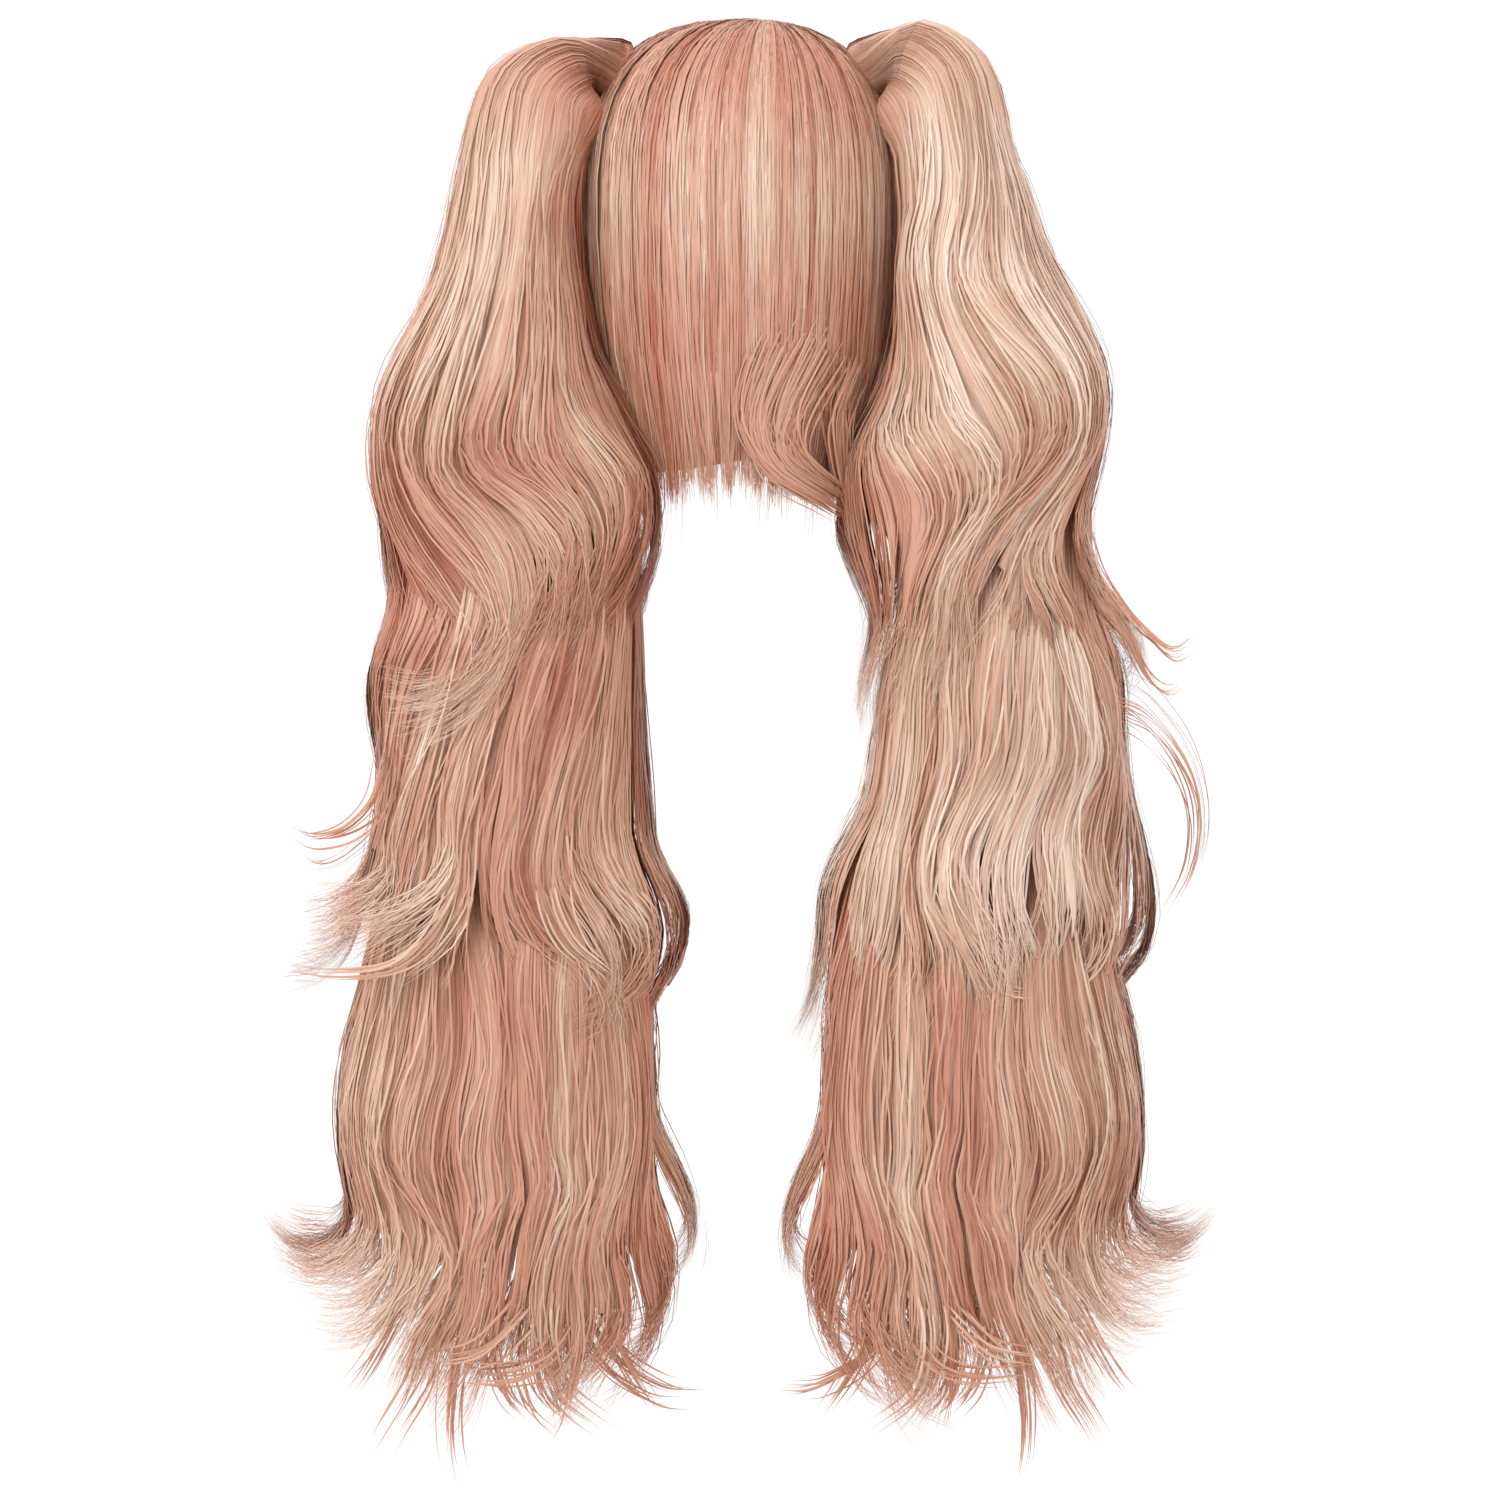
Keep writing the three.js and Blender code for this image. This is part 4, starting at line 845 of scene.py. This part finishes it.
def lock_places(number):
    """The turn round the ponytail of the locks, one at each traced line on the back and again on
    the front, and half of the turn that each lock takes up."""
    back = np.arcsin(np.linspace(-1, 1, number))
    turn = np.concatenate([back, math.pi - back[-2:0:-1]])
    gap = np.diff(np.concatenate([turn, [turn[0] + 2 * math.pi]]))
    return turn, (gap + np.roll(gap, 1)) / 4


def lock_tones(turn, tones):
    """The tone at a turn round the ponytail, blended between the traced lines."""
    return np.interp((0.5 + 0.5 * np.sin(turn)) * (len(tones) - 1), np.arange(len(tones)), tones)


def swelling(share, rooted):
    """How much of its height a lock has along its length. It is flat at its root and its tip."""
    from_root = mix(0.06, 1, smooth(share * (2.0 if rooted else 4)))
    return from_root * mix(1, 0.08, smooth((share - 0.55) / 0.4))


def tube_faces(tubes, rings, corners):
    """Faces round and down closed tubes of rings, with both ends filled by strips of faces."""
    counted = (np.arange(tubes), np.arange(rings - 1), np.arange(corners))
    tube, ring, corner = np.meshgrid(*counted, indexing="ij")
    at = (tube * rings + ring) * corners
    after = (corner + 1) % corners
    walls = np.stack([at + corner, at + after, at + corners + after, at + corners + corner], -1)
    k = np.arange(corners // 2 - 1)
    strip = np.stack([k, k + 1, corners - 2 - k, corners - 1 - k], -1)
    base = (np.arange(tubes) * rings * corners)[:, None, None]
    starts = strip[None, :, ::-1] + base
    ends = strip[None] + base + (rings - 1) * corners
    return np.concatenate([faces.reshape(-1, 4) for faces in (walls, starts, ends)])


def layer_locks(side, outline, peak, table, rooted, depth, heights, ends):
    """The smooth middle of each lock, a closed lens in section that tapers to its tip."""
    lines, tones = middles(table)
    lock_turn, half_lock = lock_places(len(lines))
    locks = len(lock_turn)
    outer = np.linspace(-1, 1, LOCK_FACE)
    across = np.concatenate([outer, outer[-2:0:-1]])
    rise = (1 - across**2) * np.where(np.arange(len(across)) < LOCK_FACE, 1, -0.7)
    step = np.linspace(0, 1, STATIONS)
    narrow = 1.12 - 1.1 * smooth((step - 0.45) / 0.45)
    turn = lock_turn[:, None, None] + across[None, :, None] * half_lock[:, None, None] * narrow
    turn = turn.reshape(-1, STATIONS)
    corners = len(across)
    ends = np.repeat(ends, corners)
    points, outward, share = hang(side, outline, peak, lines, turn, rooted, depth, ends)
    taper = swelling(share, rooted)
    lift = (heights[:, None] * rise).reshape(-1, 1) * taper
    points = keep_off_head(points + outward * RAISED * lift[..., None], HAIR_OUTSIDE + GAP)
    tone = np.repeat(lock_tones(lock_turn, tones), corners)[:, None]
    # Painted shade towards each lock's edges, and a slight painted highlight along its middle.
    tone = tone + np.tile(0.04 - 0.18 * across**2, locks)[:, None] * taper
    uvs = np.stack([np.tile(across * 6, locks)[:, None] + 40 * tone, share * 5], -1)
    steps = points.shape[1]
    by_ring = []
    for values in (points, tone, uvs):
        values = values.reshape(locks, corners, steps, -1).transpose(0, 2, 1, 3)
        by_ring.append(values.reshape(locks * steps * corners, -1))
    points, tone, uvs = by_ring
    faces = tube_faces(locks, steps, corners)
    return points, faces[:, ::-side], uvs, tone[:, 0]


def layer_core(side, outline, peak, table, rooted, depth, end):
    """A closed smooth tube, pointed at both ends, that fills a layer below its locks."""
    lines, tones = middles(table)
    turn = np.linspace(0, 2 * math.pi, BODY_SIDES + 1)[:-1, None] + np.zeros((1, STATIONS))
    step = np.linspace(0, 1, STATIONS)
    slim = mix(0.5, 1, smooth(step * 4)) * mix(1, 0.25, smooth((step - end + 0.35) / 0.35))
    ends = np.full(BODY_SIDES, end)
    points, _, share = hang(side, outline, peak, lines, turn, rooted, depth * 0.88 * slim, ends, 0.9 * slim)
    points = keep_off_head(points.transpose(1, 0, 2), HAIR_OUTSIDE + GAP).reshape(-1, 3)
    uvs = np.stack(np.broadcast_arrays(np.arange(BODY_SIDES)[None, :] * 2.3, share.T * 5), -1).reshape(-1, 2)
    faces = tube_faces(1, share.shape[1], BODY_SIDES)
    # The core's tone is below the layer's mean: painted shade in the depth of the hair.
    return points, faces[:, ::-side], uvs, np.full(len(points), tones.mean() - 0.15)


def layer_strands(side, outline, peak, table, rooted, depth, heights, number):
    """The loose fibres of one layer. They lie on the locks in clumps, which end in fine wisps."""
    lines, tones = middles(table)
    lock_turn, half_lock = lock_places(len(lines))
    locks = len(lock_turn)
    at_back = np.cos(lock_turn) > 0.2
    at_edge = np.abs(np.cos(lock_turn)) < 0.2
    weight = np.where(at_edge, 2.0, np.where(at_back, 1.25, 0.8))
    lock = rng.choice(locks, number, p=weight / weight.sum())
    clump = lock * CLUMPS_PER_LOCK + rng.integers(0, CLUMPS_PER_LOCK, number)
    wisp = clump * WISPS_PER_CLUMP + rng.integers(0, WISPS_PER_CLUMP, number)
    clumps = locks * CLUMPS_PER_LOCK
    wisps = clumps * WISPS_PER_CLUMP
    clump_place = (np.tile(np.arange(CLUMPS_PER_LOCK), locks) + 0.5) / CLUMPS_PER_LOCK * 2 - 1
    clump_place = (clump_place + rng.uniform(-0.12, 0.12, clumps))[clump]
    across = clump_place + rng.uniform(-1, 1, number) / CLUMPS_PER_LOCK
    gathered = clump_place + rng.uniform(-1, 1, wisps)[wisp] / CLUMPS_PER_LOCK

    ends = 1 - rng.uniform(0, 0.04, clumps)[clump] - rng.uniform(0, 0.03, wisps)[wisp]
    ends -= 0.12 * rng.uniform(0, 1, number) ** 3
    step = np.linspace(0, 1, STATIONS)[None, :]
    close = mix(1.12, 0.92, smooth((step - 0.55) * 2.4))
    gather = 0.65 * smooth((step - 0.6) * 2.5)
    within = mix(across[:, None], gathered[:, None], gather)
    turn = lock_turn[lock][:, None] + within * half_lock[lock][:, None] * close
    points, outward, share = hang(side, outline, peak, lines, turn, rooted, depth, ends, over_tie=True)

    rise = (1 - np.minimum(np.abs(across), 1) ** 2)[:, None]
    taper = swelling(share, rooted)
    loose = rng.uniform(-0.2, 1.6, number)[:, None] + rng.uniform(-0.6, 0.6, clumps)[clump][:, None]
    strayed = rng.uniform(0, 1, number) < 0.07
    loose = loose + np.where(strayed, rng.uniform(1, 5, number), 0)[:, None] * smooth(share * 2)
    loose = loose + rng.normal(0, 2.5, clumps)[clump][:, None] * smooth((share - 0.6) * 2.5)
    lift = heights[lock][:, None] * rise * taper + loose * MM * smooth(share * 5)
    points = points + outward * RAISED * lift[..., None]
    points = points + drift(number, points.shape[1], np.where(strayed, 3.0, 0.8)[:, None, None] * MM)
    curl = rng.normal(0, 8, wisps)[wisp] + rng.normal(0, 3, number)
    tip = smooth((share - 0.74) / 0.26) ** 1.5
    sideways = unit(np.cross(np.gradient(points, axis=1), outward))
    points = points + sideways * (curl[:, None] * tip * MM)[..., None]
    uneven = rng.normal(0, 5, clumps)[clump] + rng.normal(0, 4, wisps)[wisp] + rng.normal(0, 2.5, number)
    points[..., 2] += uneven[:, None] * smooth((share - 0.5) * 2.5) * MM
    points = keep_off_head(points, HAIR_OUTSIDE + GAP)
    # The gleam is a painted highlight where a wave turns a fibre up to the light, with a little painted
    # shade where it turns down.
    upturned = (unit(np.gradient(points, axis=1)) * outward).sum(-1)
    gleam = GLEAM * np.clip(upturned, -0.2, 0.4) * (1 if rooted else smooth(share * 4))

    # Painted shade: fibres are darker where they come out of the tie, and where they come from below the
    # layer above them. Near the root their tones are evened out and raised by a painted sheen.
    tone = lock_tones(lock_turn[lock] + across * half_lock[lock], tones) + rng.normal(0, 0.04, clumps)[clump]
    tone = tone + rng.normal(0, 0.03, wisps)[wisp] + rng.normal(0, 0.05, number)
    if rooted:
        near_root = 1 - smooth(share * 2.5)
        tone = mix(tone[:, None], np.mean(tones), 0.65 * near_root) + 0.12 * near_root
        tone = tone - 0.35 * (1 - smooth(share * 8))
    else:
        tone = tone[:, None] - 0.28 * (1 - smooth(share * 1.7))
    # Painted shade towards a lock's edges and a painted highlight on its crest, then a little paler at the
    # tips.
    tone = tone + 0.18 * (rise - 0.65) * taper + 0.05 * smooth((share - 0.8) * 5) + gleam
    return points, outward, tone


def loose_wisps(side, outline, peak, table, depth, number, tip_spread):
    """A few fibres along each traced line. They part a little where the wisp starts, and by a
    share of that at its tip."""
    lines, tones = middles(table)
    own = np.repeat(np.arange(len(lines)), number)
    place = own + rng.normal(0, 0.04, len(own))
    turn = np.arcsin(np.clip(place / (len(lines) - 1) * 2 - 1, -1, 1))[:, None] + np.zeros((1, STATIONS))
    ends = 1 - 0.25 * rng.uniform(0, 1, len(own)) ** 2
    points, outward, share = hang(side, outline, peak, lines, turn, False, depth, ends)
    fan = rng.normal(0, 4, (len(own), 1, 3)) * mix(1, tip_spread, smooth(share))[..., None]
    tone = tones[own][:, None] + rng.normal(0, 0.05, (len(own), 1)) + 0 * share
    return points + fan * MM, outward, tone


for word, (side, outline, peak, upper, middle, crossing) in TAILS.items():
    # Each layer's lines, whether it starts in the tie, its share of the full depth, its fibres,
    # where its smooth core ends, and the least and greatest height of its locks in millimetres.
    layers = [
        (upper, True, 1.0, 2350, 0.7, (6, 12)),
        (middle, False, 0.93, 1850, 0.66, (5, 10)),
        (LONG_LAYER, False, 0.9, 2250, 0.66, (4, 9)),
    ]
    solids, strands = [], []
    for (table, rooted, depth, number, end, height_range), paler in zip(layers, PALER[word]):
        table = [(tone + paler, points) for tone, points in table]
        locks = 2 * len(table) - 2
        heights = rng.uniform(*height_range, locks) * MM
        lock_ends = rng.uniform(*LOCK_ENDS, locks)
        solids.append(layer_core(side, outline, peak, table, rooted, depth, end))
        solids.append(layer_locks(side, outline, peak, table, rooted, depth, heights, lock_ends))
        strands.append(layer_strands(side, outline, peak, table, rooted, depth, heights, number))
    strands.append(loose_wisps(side, outline, peak, END_WISPS, depth=1.0, number=10, tip_spread=0.9))
    # The crossing wisps come up out of the ponytail and lie on it.
    rising = mix(0.9, 1.08, smooth(np.linspace(0, 3, STATIONS)))
    strands.append(loose_wisps(side, outline, peak, crossing, depth=rising, number=12, tip_spread=0.3))
    points, faces, uvs, tone = zip(*solids)
    before = np.cumsum([0] + [len(part) for part in points[:-1]])
    faces = [part + start for part, start in zip(faces, before)]
    points, faces, uvs, tone = (np.concatenate(parts) for parts in (points, faces, uvs, tone))
    body = join_mesh(f"ponytail_{word}", points, faces, uvs, tone)
    body.data.materials.append(long_fibre)
    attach(body, "root")
    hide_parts(f"ponytail_{word}")

    lower_strands = [np.concatenate(part) for part in zip(*strands[1:])]
    for level, (lines, outward, tone) in (("upper", strands[0]), ("lower", lower_strands)):
        width = rng.uniform(*LONG_WIDTHS, len(lines)) * MM
        name = f"ponytail_{word}_{level}_strands"
        piece = ribbons(name, lines, outward, width, tone, lay=0.11)
        piece.data.materials.append(long_fibre)
        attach(piece, "root")


# Cap and ties. The cap is a fine stretch net over the head, and the short hair is sewn to it. Each tie is a
# ring of ribbed elastic cord, drawn tight round the root of its ponytail, coloured dark as painted shade of
# the hollow there. Both are the imported solids themselves, with finishes of their own.
NET_COLOURS = [(0.08, (150, 100, 84)), (0.3, (196, 148, 128))]  # from a mesh's edge to its middle
NET_SCALE = 420.0  # meshes in a metre
NET_RELIEF = 0.0005
# The cord is darkened all over as painted shade of the hollow where the hair is gathered, and it is darker
# still in its grooves, as painted shade.
ELASTIC_COLOURS_AND_SHADE = [(0.0, (112, 68, 54)), (1.0, (166, 112, 92))]  # from a groove to a rib
RIB_SCALE = 320.0
RIB_RELIEF = 0.0004


def textile(name, roughness, colours, strength, relief, kind, height, **pattern):
    """A dull fabric. The height of its pattern gives the colour and the relief."""
    material = bpy.data.materials.new(name)
    material.use_nodes = True
    tree = material.node_tree
    shader = tree.nodes["Principled BSDF"]
    shader.inputs["Roughness"].default_value = roughness
    weave = add_node(tree, kind, (-600, 0), **pattern)
    where = add_node(tree, "ShaderNodeTexCoord", (-800, 0))
    ramp = add_node(tree, "ShaderNodeValToRGB", (-400, 100))
    for element, (position, colour) in zip(ramp.color_ramp.elements, colours):
        element.position = position
        element.color = srgb(*colour)
    bump = add_node(tree, "ShaderNodeBump", (-200, -200), Strength=strength, Distance=relief)
    tree.links.new(where.outputs["Object"], weave.inputs["Vector"])
    tree.links.new(weave.outputs[height], ramp.inputs["Fac"])
    tree.links.new(ramp.outputs["Color"], shader.inputs["Base Color"])
    tree.links.new(weave.outputs[height], bump.inputs["Height"])
    tree.links.new(bump.outputs["Normal"], shader.inputs["Normal"])
    return material


net = textile(
    "stretch_net", 0.85, NET_COLOURS, 0.5, NET_RELIEF,
    "ShaderNodeTexVoronoi", "Distance", Scale=NET_SCALE, feature="DISTANCE_TO_EDGE",
)
elastic = textile(
    "ribbed_elastic", 0.75, ELASTIC_COLOURS_AND_SHADE, 0.6, RIB_RELIEF,
    "ShaderNodeTexWave", "Fac", Scale=RIB_SCALE, Distortion=0.6, bands_direction="DIAGONAL",
)
for name, material in (("wig_cap", net), ("hair_tie_left", elastic), ("hair_tie_right", elastic)):
    nodes[name].data.materials.clear()
    nodes[name].data.materials.append(material)
